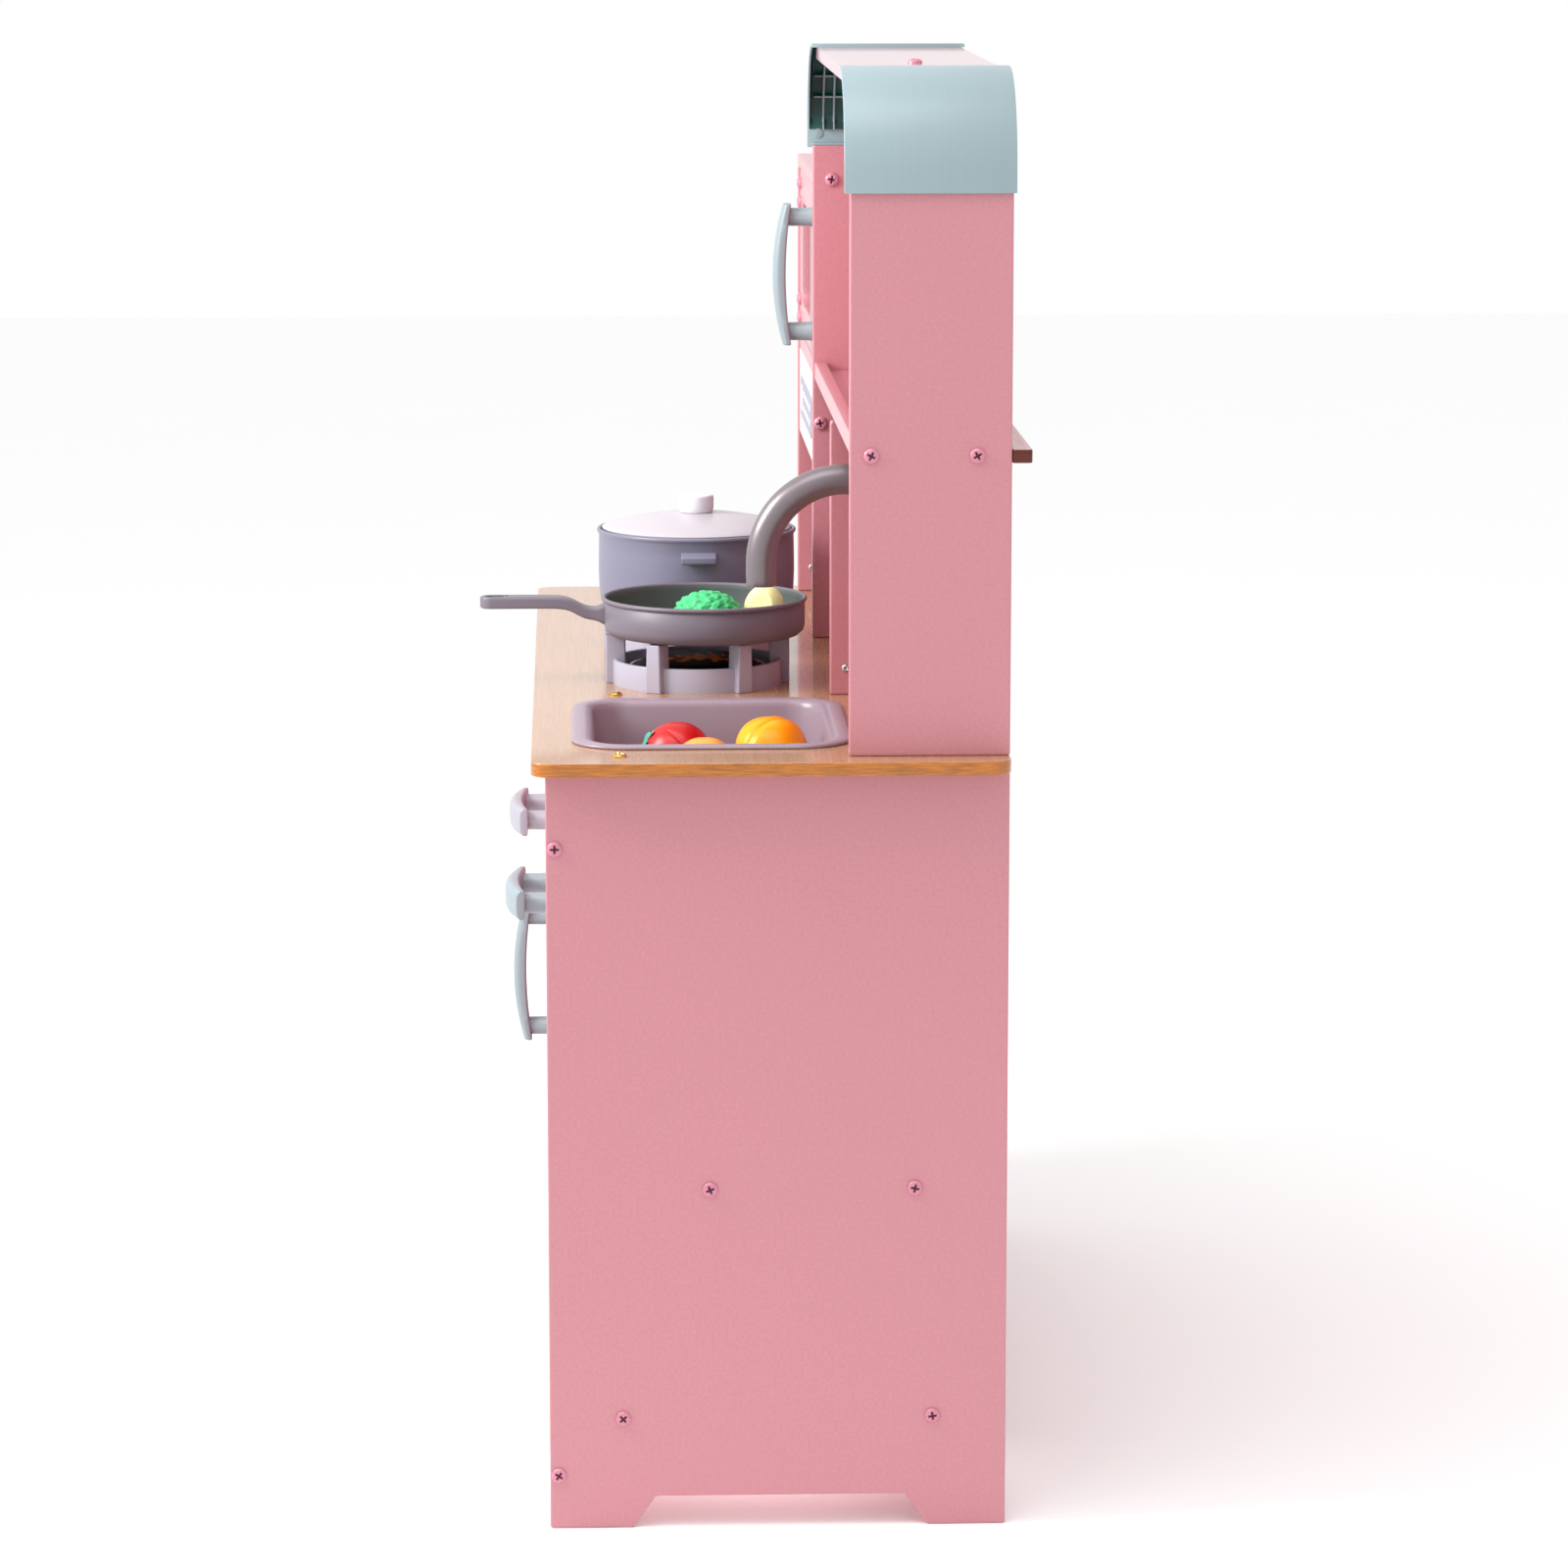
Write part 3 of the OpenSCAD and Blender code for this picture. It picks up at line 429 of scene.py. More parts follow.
label_film = Finish("label film", srgb(150, 146, 166), 0.3)
label_film.set("Base Color", label_film.shade(0.05, label_film.noise(600, 2)))
label_film.bump(label_film.noise(300, 1), 0.04, 0.0003)
label_ink = Finish("label light print", srgb(222, 221, 230), 0.35)
label_ink.set("Base Color", label_ink.shade(0.03, label_ink.noise(900, 2)))
low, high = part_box("display_label")
label_front = low.y
make("label_film_plate", [slab([rectangle(low.x, high.x, low.z, high.z, 0.004)], "y", label_front + 0.0001,
                               high.y, 0.0001, 1)], "cabinet", label_film.material,
     ["display_label"])
mid_z = (low.z + high.z) / 2
marks = [slab([rectangle(low.x + 0.012, low.x + 0.032, mid_z - 0.010, mid_z + 0.010, 0.003)], "y",
              label_front - 0.0001, label_front + 0.0002, 0.00004, 1)]
for column in range(4):
    for row in range(2):
        x0 = low.x + 0.046 + column * 0.032
        z0 = mid_z - 0.0085 + row * 0.011
        marks.append(slab([rectangle(x0, x0 + 0.022, z0, z0 + 0.005, 0.002)], "y", label_front - 0.0001,
                          label_front + 0.0002, 0.00004, 1))
make("label_print_marks", marks, "cabinet", label_ink.material)

# ---- Countertop and sill --------------------------------------------------------------
# A 9 mm board with a light oak print on top and an orange-brown edge strip, its corners
# rounded in plan. The sill behind the hutch is a strip of brown wood with a pink foiled top;
# its edges are brown wood, coloured darker still as painted shade.

facing_up = 0.7


def oak_finish(name, top_color, edge_color, coat=0.6):
    """Printed oak: long grain streaks on top, and a darker streaked strip round the edge."""
    oak = Finish(name, top_color, 0.36, Coat_Weight=coat, Coat_Roughness=0.08)
    streak = oak.noise(46, 4, 0.65, (0.35, 7, 7))
    pores = oak.noise(300, 2, 0.5, (0.03, 4, 4))
    face = oak.mix(streak.band(0.3, 0.75), tuple(c * 0.84 for c in top_color[:3]) + (1,), top_color)
    face = oak.mix(pores.band(0.52, 0.75) * 0.30, face, tuple(c * 0.66 for c in top_color[:3]) + (1,))
    layers = oak.noise(95, 3, 0.6, (1.2, 0.6, 16))
    strip = oak.mix(layers.band(0.38, 0.62), tuple(c * 0.58 for c in edge_color[:3]) + (1,), edge_color)
    normal = oak.node("ShaderNodeNewGeometry", {}, {}, "Normal")
    up = oak.node("ShaderNodeSeparateXYZ", {}, {0: normal}, 2).band(facing_up - 0.2, facing_up + 0.2)
    oak.set("Base Color", oak.mix(up, strip, face))
    oak.set("Roughness", 0.20 + pores * 0.16)
    oak.bump(pores * 0.7 + streak * 0.3, 0.05, 0.0004)
    return oak.material


oak_print = oak_finish("oak print", srgb(184, 137, 98), srgb(192, 112, 18))
low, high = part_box("countertop")
sink_low, sink_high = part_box("sink_basin")
cut_in = 0.0125
sink_cut = rectangle(sink_low.x + cut_in, sink_high.x - cut_in, sink_low.y + cut_in, sink_high.y - cut_in,
                     0.025, 8)
make("countertop_oak", [slab([rectangle(low.x, high.x, low.y, high.y, 0.014, 8), sink_cut], "z",
                             low.z, high.z, 0.0007)], "cabinet", oak_print, ["countertop"])

# The sill's edge colour is brown wood, darkened further as painted shade.
sill_wood = oak_finish("brown sill", srgb(206, 146, 150), srgb(96, 30, 6), 0.0)
make("sill_strip", [plank(*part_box("rear_sill"))], "cabinet", sill_wood, ["rear_sill"])

# ---- Corner caps ----------------------------------------------------------------------
# Injection-moulded mint shells that wrap the hutch's top corners. Inside they have a grid
# of thin ribs above a smooth band, and a small ejector mark; they are pushed over the panels.
# A thin dark teal sheet just within the shell, above the band, is painted shade.


def moulded(name, color, roughness=0.38, mottle=0.02, peel=0.06):
    """Moulded plastic: almost even colour, a soft sheen and a very fine skin."""
    plastic = Finish(name, color, roughness)
    flow = plastic.noise(9, 2, 0.5, (1, 1, 2.4))
    skin = plastic.noise(1800, 2)
    plastic.set("Base Color", plastic.shade(mottle, flow * 0.75 + skin * 0.25))
    plastic.set("Roughness", roughness - 0.04 + skin * 0.08)
    plastic.bump(skin * 0.6 + plastic.noise(260, 1) * 0.4, peel, 0.0003)
    return plastic.material


mint = moulded("mint plastic", srgb(143, 157, 163))
cap_plastic = Finish("cap plastic", srgb(144, 163, 168), 0.36)
brushing = cap_plastic.noise(30, 3, 0.6, (1, 14, 0.5))
# Points marked as shade take dark teal: painted shade in the ribbed cavity of the cap.
painted_recess_shade = cap_plastic.mix(cap_plastic.painted(), cap_plastic.shade(0.04, brushing), srgb(14, 92, 84))
cap_plastic.set("Base Color", painted_recess_shade)
cap_plastic.set("Roughness", 0.30 + brushing * 0.10)
cap_plastic.bump(cap_plastic.noise(1800, 2), 0.06, 0.0003)
cap_wall, rib_height, rib_wall = 0.0025, 0.005, 0.0014
cap_radius = 0.064
band_height = 0.018
rib_pitch = 0.0077
panel_low, panel_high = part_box("hutch_side_right")
board_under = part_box("hutch_top_board")[0].z


def corner_section(low, high, inward, outer, inner, foot_z, end_x, steps=18):
    """A cap's section between two depths under its skin, from foot_z round to end_x.

    Both sides are arcs about one centre, cap_radius in from the skirt and down from the top.
    """
    corner_x = high.x if inward < 0 else low.x
    centre = np.array((corner_x + inward * cap_radius, high.z - cap_radius))
    t = np.linspace(0, math.pi / 2, steps + 1)
    sweep = np.stack((-inward * np.cos(t), np.sin(t)), 1)
    arc_out = centre + sweep * (cap_radius - outer)
    arc_in = (centre + sweep * (cap_radius - inner))[::-1]
    return np.concatenate(([(corner_x + inward * outer, foot_z)], arc_out, [(end_x, high.z - outer)],
                           [(end_x, high.z - inner)], arc_in, [(corner_x + inward * inner, foot_z)]))


for side, inward in (("right", -1), ("left", 1)):
    low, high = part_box("corner_cap_" + side)
    corner_x, plate_end = (high.x, low.x) if inward < 0 else (low.x, high.x)
    arc_x = corner_x + inward * cap_radius
    shell = corner_section(low, high, inward, 0, cap_wall, low.z, plate_end)
    parts = [slab([shell], "y", low.y, high.y, 0.0006)]
    rib_foot = low.z + band_height
    # A thin sheet just within the shell, above the band, marked as shade: it paints the shade in the cap's
    # cavity dark teal.
    shade_sheet_section = corner_section(low, high, inward, cap_wall - 0.0002, cap_wall + 0.0003, rib_foot, arc_x)
    recess = slab([shade_sheet_section], "y", low.y + 0.0016, high.y - 0.0016, 0.0001, 1)
    parts.append((*recess, np.ones(len(recess[0]))))
    rib_reach = arc_x - inward * 0.016
    rib = corner_section(low, high, inward, cap_wall - 0.0003, cap_wall + rib_height, rib_foot, arc_x)
    rib = rib[(rib[:, 0] - rib_reach) * inward < 0]
    rib = rib[rib[:, 1] < board_under + 0.004]
    for rib_y in np.arange(low.y + 0.0107, high.y - 0.004, rib_pitch):
        parts.append(slab([rib], "y", rib_y, rib_y + rib_wall, 0.0003, 1))
    for climb in (0.036, 0.0513):
        z0 = low.z + climb
        lift = max(0.0, z0 - (high.z - cap_radius))
        wall = cap_radius - math.sqrt((cap_radius - cap_wall) ** 2 - lift ** 2)
        x0, x1 = sorted((corner_x + inward * wall, corner_x + inward * (wall + rib_height)))
        parts.append(plank((x0, low.y + 0.004, z0), (x1, high.y - 0.002, z0 + rib_wall), 0.0003))
    x0, x1 = sorted((corner_x + inward * cap_wall / 2, corner_x + inward * (cap_wall + 0.009)))
    parts.append(plank((x0, panel_low.y, panel_high.z),
                       (x1, panel_high.y, panel_high.z + rib_wall), 0.0003))
    mark = turned([(0.0, 0.0), (0.0033, 0.0), (0.0036, 0.0004), (0.0030, 0.0006), (0.0, 0.0004)],
                  (0, 0, 0), "x", 24)
    mark_points = mark[0] * (inward, 1, 1) + (corner_x + inward * cap_wall, low.y + 0.008, low.z + 0.010)
    parts.append((mark_points, mark[1], mark[2]))
    make("corner_cap_" + side + "_moulded", parts, "cabinet", cap_plastic.material,
         ["corner_cap_" + side])

# ---- Sink -----------------------------------------------------------------------------
# A vacuum-formed lavender basin with a crowned rim, dropped into the countertop and held by
# its rim. The walls draw in towards a flat floor.

lavender = moulded("lavender plastic", srgb(150, 130, 142), 0.30)
low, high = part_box("sink_basin")
worktop_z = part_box("countertop")[1].z
sink_outline = rectangle(low.x, high.x, low.y, high.y, 0.038, 12, 0.003)
basin_profile = np.array([
    (26, -52.2), (20, -50.6), (16.4, -45), (14.2, -25), (13.0, -4), (12.9, 0.05), (0.5, 0.05),
    (0, 0.5), (0, 1.1), (0.5, 1.9), (1.8, 2.35), (5, 2.5), (9, 2.4), (11.6, 1.9), (13.4, 0.4),
    (14.6, -3), (16.6, -25), (18.8, -42), (20.6, -46.6), (23.6, -49.4), (28, -50)]) / 1000
count = len(sink_outline)
rows = np.stack([
    np.concatenate((inset(sink_outline, drawn_in), np.full((count, 1), worktop_z + lift)), 1)
    for drawn_in, lift in basin_profile])
basin = (rows.reshape(-1, 3), ring_faces(len(rows), count),
         ([list(range(count))], [list(range((len(rows) - 1) * count, len(rows) * count))]))
make("sink_basin_formed", [basin], "cabinet", lavender, ["sink_basin"], 60)

# ---- Faucet ---------------------------------------------------------------------------
# A bent 20 mm tube in silver-lacquered plastic, open at the outlet, which comes out of the
# back panel through a round flange.

silver = Finish("silver lacquer", srgb(126, 118, 122), 0.30, Metallic=0.45)
flakes = silver.noise(3000, 1)
silver.set("Base Color", silver.shade(0.12, silver.noise(60, 3, 0.6, (6, 1, 0.4)) * 0.6 + flakes * 0.4))
silver.set("Roughness", 0.26 + flakes * 0.12)
silver.bump(silver.noise(1500, 2), 0.05, 0.0003)
low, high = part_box("faucet_spout")
tube_r = (high.x - low.x) / 2
tube_x = (high.x + low.x) / 2
bend_r = 0.055
outlet = np.array((low.y + tube_r, low.z))
run_z = high.z - tube_r
bend_centre = np.array((outlet[0] + bend_r, run_z - bend_r))
t = np.linspace(0, math.pi / 2, 25)
arc_out = np.stack((-np.cos(t), np.sin(t)), 1)
arc = bend_centre + bend_r * arc_out
bore = tube_r - 0.0018
lip = ((bore - 0.0004, 0.012), (bore, 0.0004), (bore + 0.0005, 0), (tube_r - 0.0005, 0),
       (tube_r, 0.0005), (tube_r, 0.006), (tube_r, 0.012))
centres = np.array([outlet + (0, height) for _, height in lip] + list(arc) + [(high.y, run_z)])
outward = np.array([(-1.0, 0.0)] * len(lip) + list(arc_out) + [(0.0, 1.0)])
radii = np.array([radius for radius, _ in lip] + [tube_r] * (len(arc) + 1))
tube_sides = 40
angle = np.linspace(0, 2 * math.pi, tube_sides, endpoint=False)
ring = np.cos(angle)[None, :, None] * outward[:, None, :] * radii[:, None, None]
tube_points = np.concatenate((
    (tube_x + np.sin(angle)[None, :] * radii[:, None])[..., None],
    centres[:, None, :] + ring), 2).reshape(-1, 3)
last = tube_sides * (len(centres) - 1)
tube = (tube_points, ring_faces(len(centres), tube_sides),
        ([list(range(tube_sides))], [list(range(last, last + tube_sides))]))
make("faucet_tube", [tube], "cabinet", silver.material, ["faucet_spout"], 50)

low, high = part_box("faucet_flange")
flange_r, flange_t = (high.x - low.x) / 2, high.y - low.y
make("faucet_rose", [turned([(tube_r, 0), (flange_r - 0.0004, 0), (flange_r, -0.0006), (flange_r, -0.0018),
                             (flange_r - 0.003, -flange_t + 0.0004), (flange_r - 0.005, -flange_t),
                             (tube_r, -flange_t), (tube_r, 0)],
                            (tube_x, high.y, run_z), "y", 48)],
     "cabinet", silver.material, ["faucet_flange"])

# ---- Burners --------------------------------------------------------------------------
# Each burner is one lavender moulding: a low ring wall and six tapered pillars that carry
# the pan. A domed black disc printed with flames sits inside, held by a bright ring.

burner_grey = moulded("burner plastic", srgb(168, 163, 178), 0.34)
ring_r, ring_wall, ring_top, ring_floor = 0.059, 0.003, 0.017, 0.008
pillar_count, pillar_depth, pillar_w = 6, 0.014, 0.012
for side in ("right", "left"):
    low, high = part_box("burner_" + side)
    centre = ((low.x + high.x) / 2, (low.y + high.y) / 2, low.z)
    pillar_r = (high.y - low.y) / 2
    bore_r = ring_r - ring_wall
    ring = turned([(0, 0), (ring_r, 0), (ring_r, ring_top - 0.0012),
                   (ring_r - 0.0004, ring_top - 0.0003), (ring_r - 0.0012, ring_top),
                   (bore_r + 0.0006, ring_top), (bore_r, ring_top - 0.0006), (bore_r, ring_floor),
                   (0, ring_floor)], centre, "z", 96)
    parts = [ring]
    for turn in range(pillar_count):
        a = 2 * math.pi * (turn + 0.5) / pillar_count
        outline = rectangle(pillar_r - pillar_depth, pillar_r, -pillar_w / 2, pillar_w / 2, 0.0011)
        spin = np.array(((math.cos(a), math.sin(a)), (-math.sin(a), math.cos(a))))
        points, faces, fills = slab([outline], "z", low.z, high.z, 0.0006)
        slim = 1 - 0.16 * (points[:, 2:] - low.z) / (high.z - low.z)
        points[:, 1:2] *= slim
        points[:, :2] = points[:, :2] @ spin + centre[:2]
        parts.append((points, faces, fills))
    make("burner_" + side + "_moulded", parts, "cabinet", burner_grey,
         ["burner_" + side])

low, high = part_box("flame_discs")
flame_r = 0.036
disc_centres = []
for side in ("right", "left"):
    burner_low, burner_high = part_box("burner_" + side)
    disc_centres.append(((burner_low.x + burner_high.x) / 2, (burner_low.y + burner_high.y) / 2))
for side, (cx, cy) in zip(("right", "left"), disc_centres):
    flame = Finish("flame print " + side, (0.006, 0.005, 0.005, 1), 0.6, Specular_IOR_Level=0.05)
    spread = flame.stretched((1 / flame_r, 1 / flame_r, 0), (cx, cy, 0))
    radius = flame.node("ShaderNodeVectorMath", {"operation": "LENGTH"}, {0: spread}, 1)
    tongues = flame.noise(150, 3, 0.6, (0.35, 1, 0.35))
    heat = (tongues * 2.6 - radius * 1.1).band(0.45, 1.0)
    flame.set("Base Color", flame.node("ShaderNodeValToRGB", {"stops": (
        (0.0, (0.006, 0.004, 0.004, 1)), (0.35, (0.08, 0.008, 0.002, 1)), (0.75, (0.42, 0.05, 0.006, 1)),
        (1.0, (0.9, 0.30, 0.04, 1)))}, {0: heat}))
    flame.set("Roughness", 0.45 + tongues * 0.15)
    disc = turned([(0, 0.001), (0.0475, 0.001), (0.0475, 0.002), (0.0375, 0.0084), (0.036, 0.0089),
                   (0, 0.0089)], (cx, cy, low.z), "z", 72)
    make("flame_disc_" + side, [disc], "cabinet", flame.material,
         ["flame_discs"] if side == "right" else ())

bright = Finish("bright ring", srgb(214, 212, 214), 0.16, Metallic=1.0)
bright.set("Roughness", 0.12 + bright.noise(500, 2) * 0.12)
bright.set("Base Color", bright.shade(0.04, bright.noise(30, 2)))
hoop = [(0.0470 + 0.0014 * math.cos(a), 0.0030 + 0.0014 * math.sin(a))
        for a in np.linspace(0, 2 * math.pi, 13)]
make("burner_rings", [turned(hoop, (cx, cy, low.z), "z", 72) for cx, cy in disc_centres], "cabinet",
     bright.material)

# ---- Frying pan -----------------------------------------------------------------------
# A grey moulded toy pan: a drawn body with a rolled rim, and an S-shaped handle that ends
# in a rounded eye for hanging. The pan's interior and the wall of the eye's hole are painted
# dark greenish grey: painted shade, and in the pan also a painted reflection of the green food.

ware_grey = moulded("grey ware", srgb(119, 117, 137), 0.34, 0.04)
pan_grey = Finish("warm grey ware", srgb(112, 104, 115), 0.40)
mottle = pan_grey.noise(1500, 2)
# Marked points take dark greenish grey: painted shade, with a painted green reflection in the pan's
# interior.
pan_grey.set("Base Color", pan_grey.mix(pan_grey.painted(), pan_grey.shade(0.06, mottle),
                                        srgb(84, 92, 90)))
pan_grey.set("Roughness", 0.38 + mottle * 0.10)
pan_grey.bump(mottle, 0.10, 0.0003)
low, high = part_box("frying_pan")
burner_low, burner_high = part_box("burner_right")
pan_x = (low.x + high.x) / 2
pan_r = (high.x - low.x) / 2
pan_y = high.y - pan_r
pan_z = low.z
body = np.array([
    (0, 0), (62, 0), (66, 1.0), (68.9, 3.6), (69.9, 7), (70.0, 22.2), (69.3, 22.8), (69.3, 23.4),
    (70.6, 23.8), (71.4, 24.6), (71.5, 25.5), (70.9, 26.5), (69.9, 26.8), (68.9, 26.3), (68.3, 25.0),
    (68.1, 22), (68, 8), (66.6, 4.2), (63.4, 2.3), (60, 2), (0, 2)]) / 1000
rim_point, pan_sides = 13, 128
# Points within the rim are marked for the painted shade and reflection.
shaded_inside = np.repeat(np.arange(len(body)) > rim_point, pan_sides).astype(float)
body[:, 0] *= pan_r / body[:, 0].max()
pan_parts = [(*turned(body, (pan_x, pan_y, pan_z), "z", pan_sides), shaded_inside)]

# The handle's middle line runs in Y and Z; its section is a soft-cornered bar.
tip_y = low.y
eye_w = 0.0083
bar_half, bar_thick = 0.0072, 0.0041
root_y = pan_y - pan_r + 0.003
steps = 28
grip = np.linspace(0, 1, steps)
line_y = root_y + (tip_y + 0.0193 - root_y) * grip
swing = 1 / (1 + np.exp(-(grip - 0.30) * 18))
line_z = pan_z + 0.0145 + 0.0085 * swing
section = rounded([(-bar_half, -bar_thick), (bar_half, -bar_thick), (bar_half, bar_thick),
                   (-bar_half, bar_thick)], 0.0016, 3)
flare = 1 + 0.16 * np.exp(-(grip / 0.10) ** 2) + 0.160 * grip
tall = 1 + 0.75 * np.exp(-(grip / 0.07) ** 2) + 0.012 * grip
bar_points = np.stack((
    pan_x + section[None, :, 0] * flare[:, None],
    np.broadcast_to(line_y[:, None], (steps, len(section))),
    line_z[:, None] + section[None, :, 1] * tall[:, None]), -1).reshape(-1, 3)
count = len(section)
pan_parts.append((bar_points, ring_faces(steps, count),
                  ([list(range(count))], [list(range((steps - 1) * count, steps * count))])))
eye_outer = rounded([(pan_x - eye_w, tip_y), (pan_x + eye_w, tip_y), (pan_x + eye_w, tip_y + 0.0215),
                     (pan_x - eye_w, tip_y + 0.0215)], (0.0078, 0.0078, 0.0024, 0.0024), 10, 0.0002)
eye_inner = rectangle(pan_x - 0.0040, pan_x + 0.0040, tip_y + 0.0050, tip_y + 0.0190, 0.00385, 8)
eye_z = line_z[-1]
eye = slab([eye_outer, eye_inner], "z", eye_z - bar_thick, eye_z + bar_thick, 0.0014)
# The hole's points are marked for painted shade.
hole_from = len(eye[0]) * len(eye_outer) // (len(eye_outer) + len(eye_inner))
pan_parts.append((*eye, np.arange(len(eye[0])) >= hole_from))
make("frying_pan_moulded", pan_parts, "frying_pan", pan_grey.material, ["frying_pan"], 50)

# ---- Stock pot and lid ----------------------------------------------------------------
# The pot matches the pan, slightly barrelled, with two short sloping tabs. Its lid is a pale
# pink dome that drops inside the rolled rim, with a white push-on knob.

low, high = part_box("stock_pot")
pot_x, pot_y, pot_z = (low.x + high.x) / 2, (low.y + high.y) / 2, low.z
pot_r, pot_h = (high.y - low.y) / 2, high.z - low.z
pot_profile = np.array([
    (0, 0), (64, 0), (67.5, 1.2), (69.4, 4.5), (70.3, 14), (70.7, 26), (70.5, 42), (70.3, 51.6),
    (71.0, 52.6), (71.8, 53.8), (71.9, 54.8), (71.2, 55.8), (70.3, 56), (69.3, 55.5), (68.9, 54.2),
    (68.5, 53.6), (68.5, 53.7), (66, 53.5), (66, 51.6), (68.4, 51.4), (68.4, 6), (66.8, 3),
    (64, 2), (0, 2)]) / 1000
pot_parts = [turned(pot_profile, (pot_x, pot_y, pot_z), "z", 128)]
tab_reach, tab_half = 0.0084, 0.0125
for way in (-1, 1):
    wall_x = pot_x + way * (pot_r - 0.0022)
    tab_line = np.array([(0, -0.0095), (0.004, -0.0105), (tab_reach, -0.0130), (tab_reach, -0.0185),
                         (0.0045, -0.0170), (0, -0.0150)])
    tab = rounded(tab_line * (way, 1) + (wall_x, pot_z + pot_h), 0.0013)
    pot_parts.append(slab([tab], "y", pot_y - tab_half, pot_y + tab_half, 0.0008))
make("stock_pot_moulded", pot_parts, "stock_pot", ware_grey, ["stock_pot"], 50)

lid_pink = moulded("pale pink plastic", srgb(188, 182, 189), 0.30, 0.01)
low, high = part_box("pot_lid")
lid_r, lid_top = (high.x - low.x) / 2, high.z - low.z
reach = np.linspace(1, 0, 26)
dome_rise = (lid_top - 0.0032) * (1 - reach ** 2)
dome = np.stack((reach * lid_r, 0.0032 + dome_rise), 1)
dome[0] = (lid_r - 0.0004, dome[0, 1] - 0.0003)
under = np.stack((reach * (lid_r - 0.0012), 0.0012 + dome_rise), 1)[::-1]
lid_edge = [(lid_r - 0.0004, 0.0014), (lid_r, 0.0019), (lid_r, 0.0026)]
lid_profile = np.concatenate((under, lid_edge, dome))
make("pot_lid_moulded", [turned(lid_profile, (pot_x, pot_y, low.z), "z", 128)], "pot_lid", lid_pink,
     ["pot_lid"], 50)

white_plastic = moulded("white plastic", srgb(216, 217, 224), 0.32, 0.01)
low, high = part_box("lid_knob")
knob_r, knob_h = (high.x - low.x) / 2, high.z - low.z
knob = np.array([(0, 0), (0.93, 0), (0.96, 0.06), (1.0, 0.30), (1.0, 0.86), (0.985, 0.94), (0.94, 0.985),
                 (0.87, 1.0), (0, 1.0)]) * (knob_r, knob_h)
make("lid_knob_moulded", [turned(knob, (pot_x, pot_y, low.z), "z", 48)], "pot_lid", white_plastic,
     ["lid_knob"], 50)

# ---- Doors ----------------------------------------------------------------------------
# Flush foiled doors with one edge rounded about the hinge pins. The two lower middle and
# right doors drop forwards; the left one and the upper one swing on their left edge.

edge_r = 0.0045


def window_slab(low, high, centre, size):
    """A door's face with a window opening of a size about a centre in its X and Z."""
    (x, z), (w, h) = centre, size
    hole = rectangle(x - w / 2, x + w / 2, z - h / 2, z + h / 2, 0.012, 8)
    return slab([rectangle(low[0], high[0], low[2], high[2]), hole], "y", low[1], high[1])


def hinge_edge(start, end, sides=24):
    """The rounded edge: a rod between two points, as long as the door."""
    start, end = np.array(start), np.array(end)
    along = int(np.argmax(abs(end - start)))
    length = (end - start)[along]
    profile = [(0, 0), (edge_r - 0.0005, 0), (edge_r, 0.0005), (edge_r, length - 0.0005),
               (edge_r - 0.0005, length), (0, length)]
    return turned(profile, start, "xyz"[along], sides)


for name, hole_size, hole_drop in (("sink_door", None, 0), ("oven_door", (0.175, 0.190), 0.024)):
    low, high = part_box(name)
    axis_y, axis_z = (low.y + high.y) / 2, low.z + edge_r
    if hole_size:
        hole_centre = ((low.x + high.x) / 2, (low.z + high.z) / 2 - hole_drop)
        face = window_slab((low.x, low.y, axis_z), tuple(high), hole_centre, hole_size)
    else:
        face = plank((low.x, low.y, axis_z), tuple(high))
    rod = hinge_edge((low.x, axis_y, axis_z), (high.x, axis_y, axis_z))
    make(name + "_foiled", [face, rod], name, pink_foil, [name])

window_size, window_shift = (0.140, 0.078), -0.010
for name in ("pantry_door", "microwave_door"):
    low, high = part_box(name)
    axis_x, axis_y = low.x + edge_r, (low.y + high.y) / 2
    if name == "microwave_door":
        hole_centre = ((axis_x + high.x) / 2 + window_shift, (low.z + high.z) / 2)
        face = window_slab((axis_x, low.y, low.z), tuple(high), hole_centre, window_size)
    else:
        face = plank((axis_x, low.y, low.z), tuple(high))
    rod = hinge_edge((axis_x, axis_y, low.z), (axis_x, axis_y, high.z))
    make(name + "_foiled", [face, rod], name, pink_foil, [name])

# The windows are clear acrylic panes screwed flat against the backs of the doors.
clear = Finish("clear acrylic", (0.90, 0.94, 0.96, 1), 0.06, Alpha=0.22)
clear.set("Roughness", 0.04 + clear.noise(60, 2) * 0.05)
clear.set("Base Color", clear.shade(0.03, clear.noise(20, 1)))
for name in ("oven", "microwave"):
    low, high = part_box(name + "_window")
    pane = slab([rectangle(low.x, high.x, low.z, high.z, 0.012, 8)], "y", low.y, high.y, 0.0003)
    make(name + "_pane", [pane], name + "_door", clear.material, [name + "_window"])

# ---- Handles --------------------------------------------------------------------------
# Moulded bow handles: a crowned bar, thickest at its middle, on two round posts that are
# screwed on from behind the door. Three are mint, and the oven's is white plastic, coloured
# greyer than the white knob as painted shade.

handle_reach, bar_width = 0.029, 0.020
mid_bar, end_bar = 0.0094, 0.0060
bow_outer = 0.0075
post_r = 0.00685


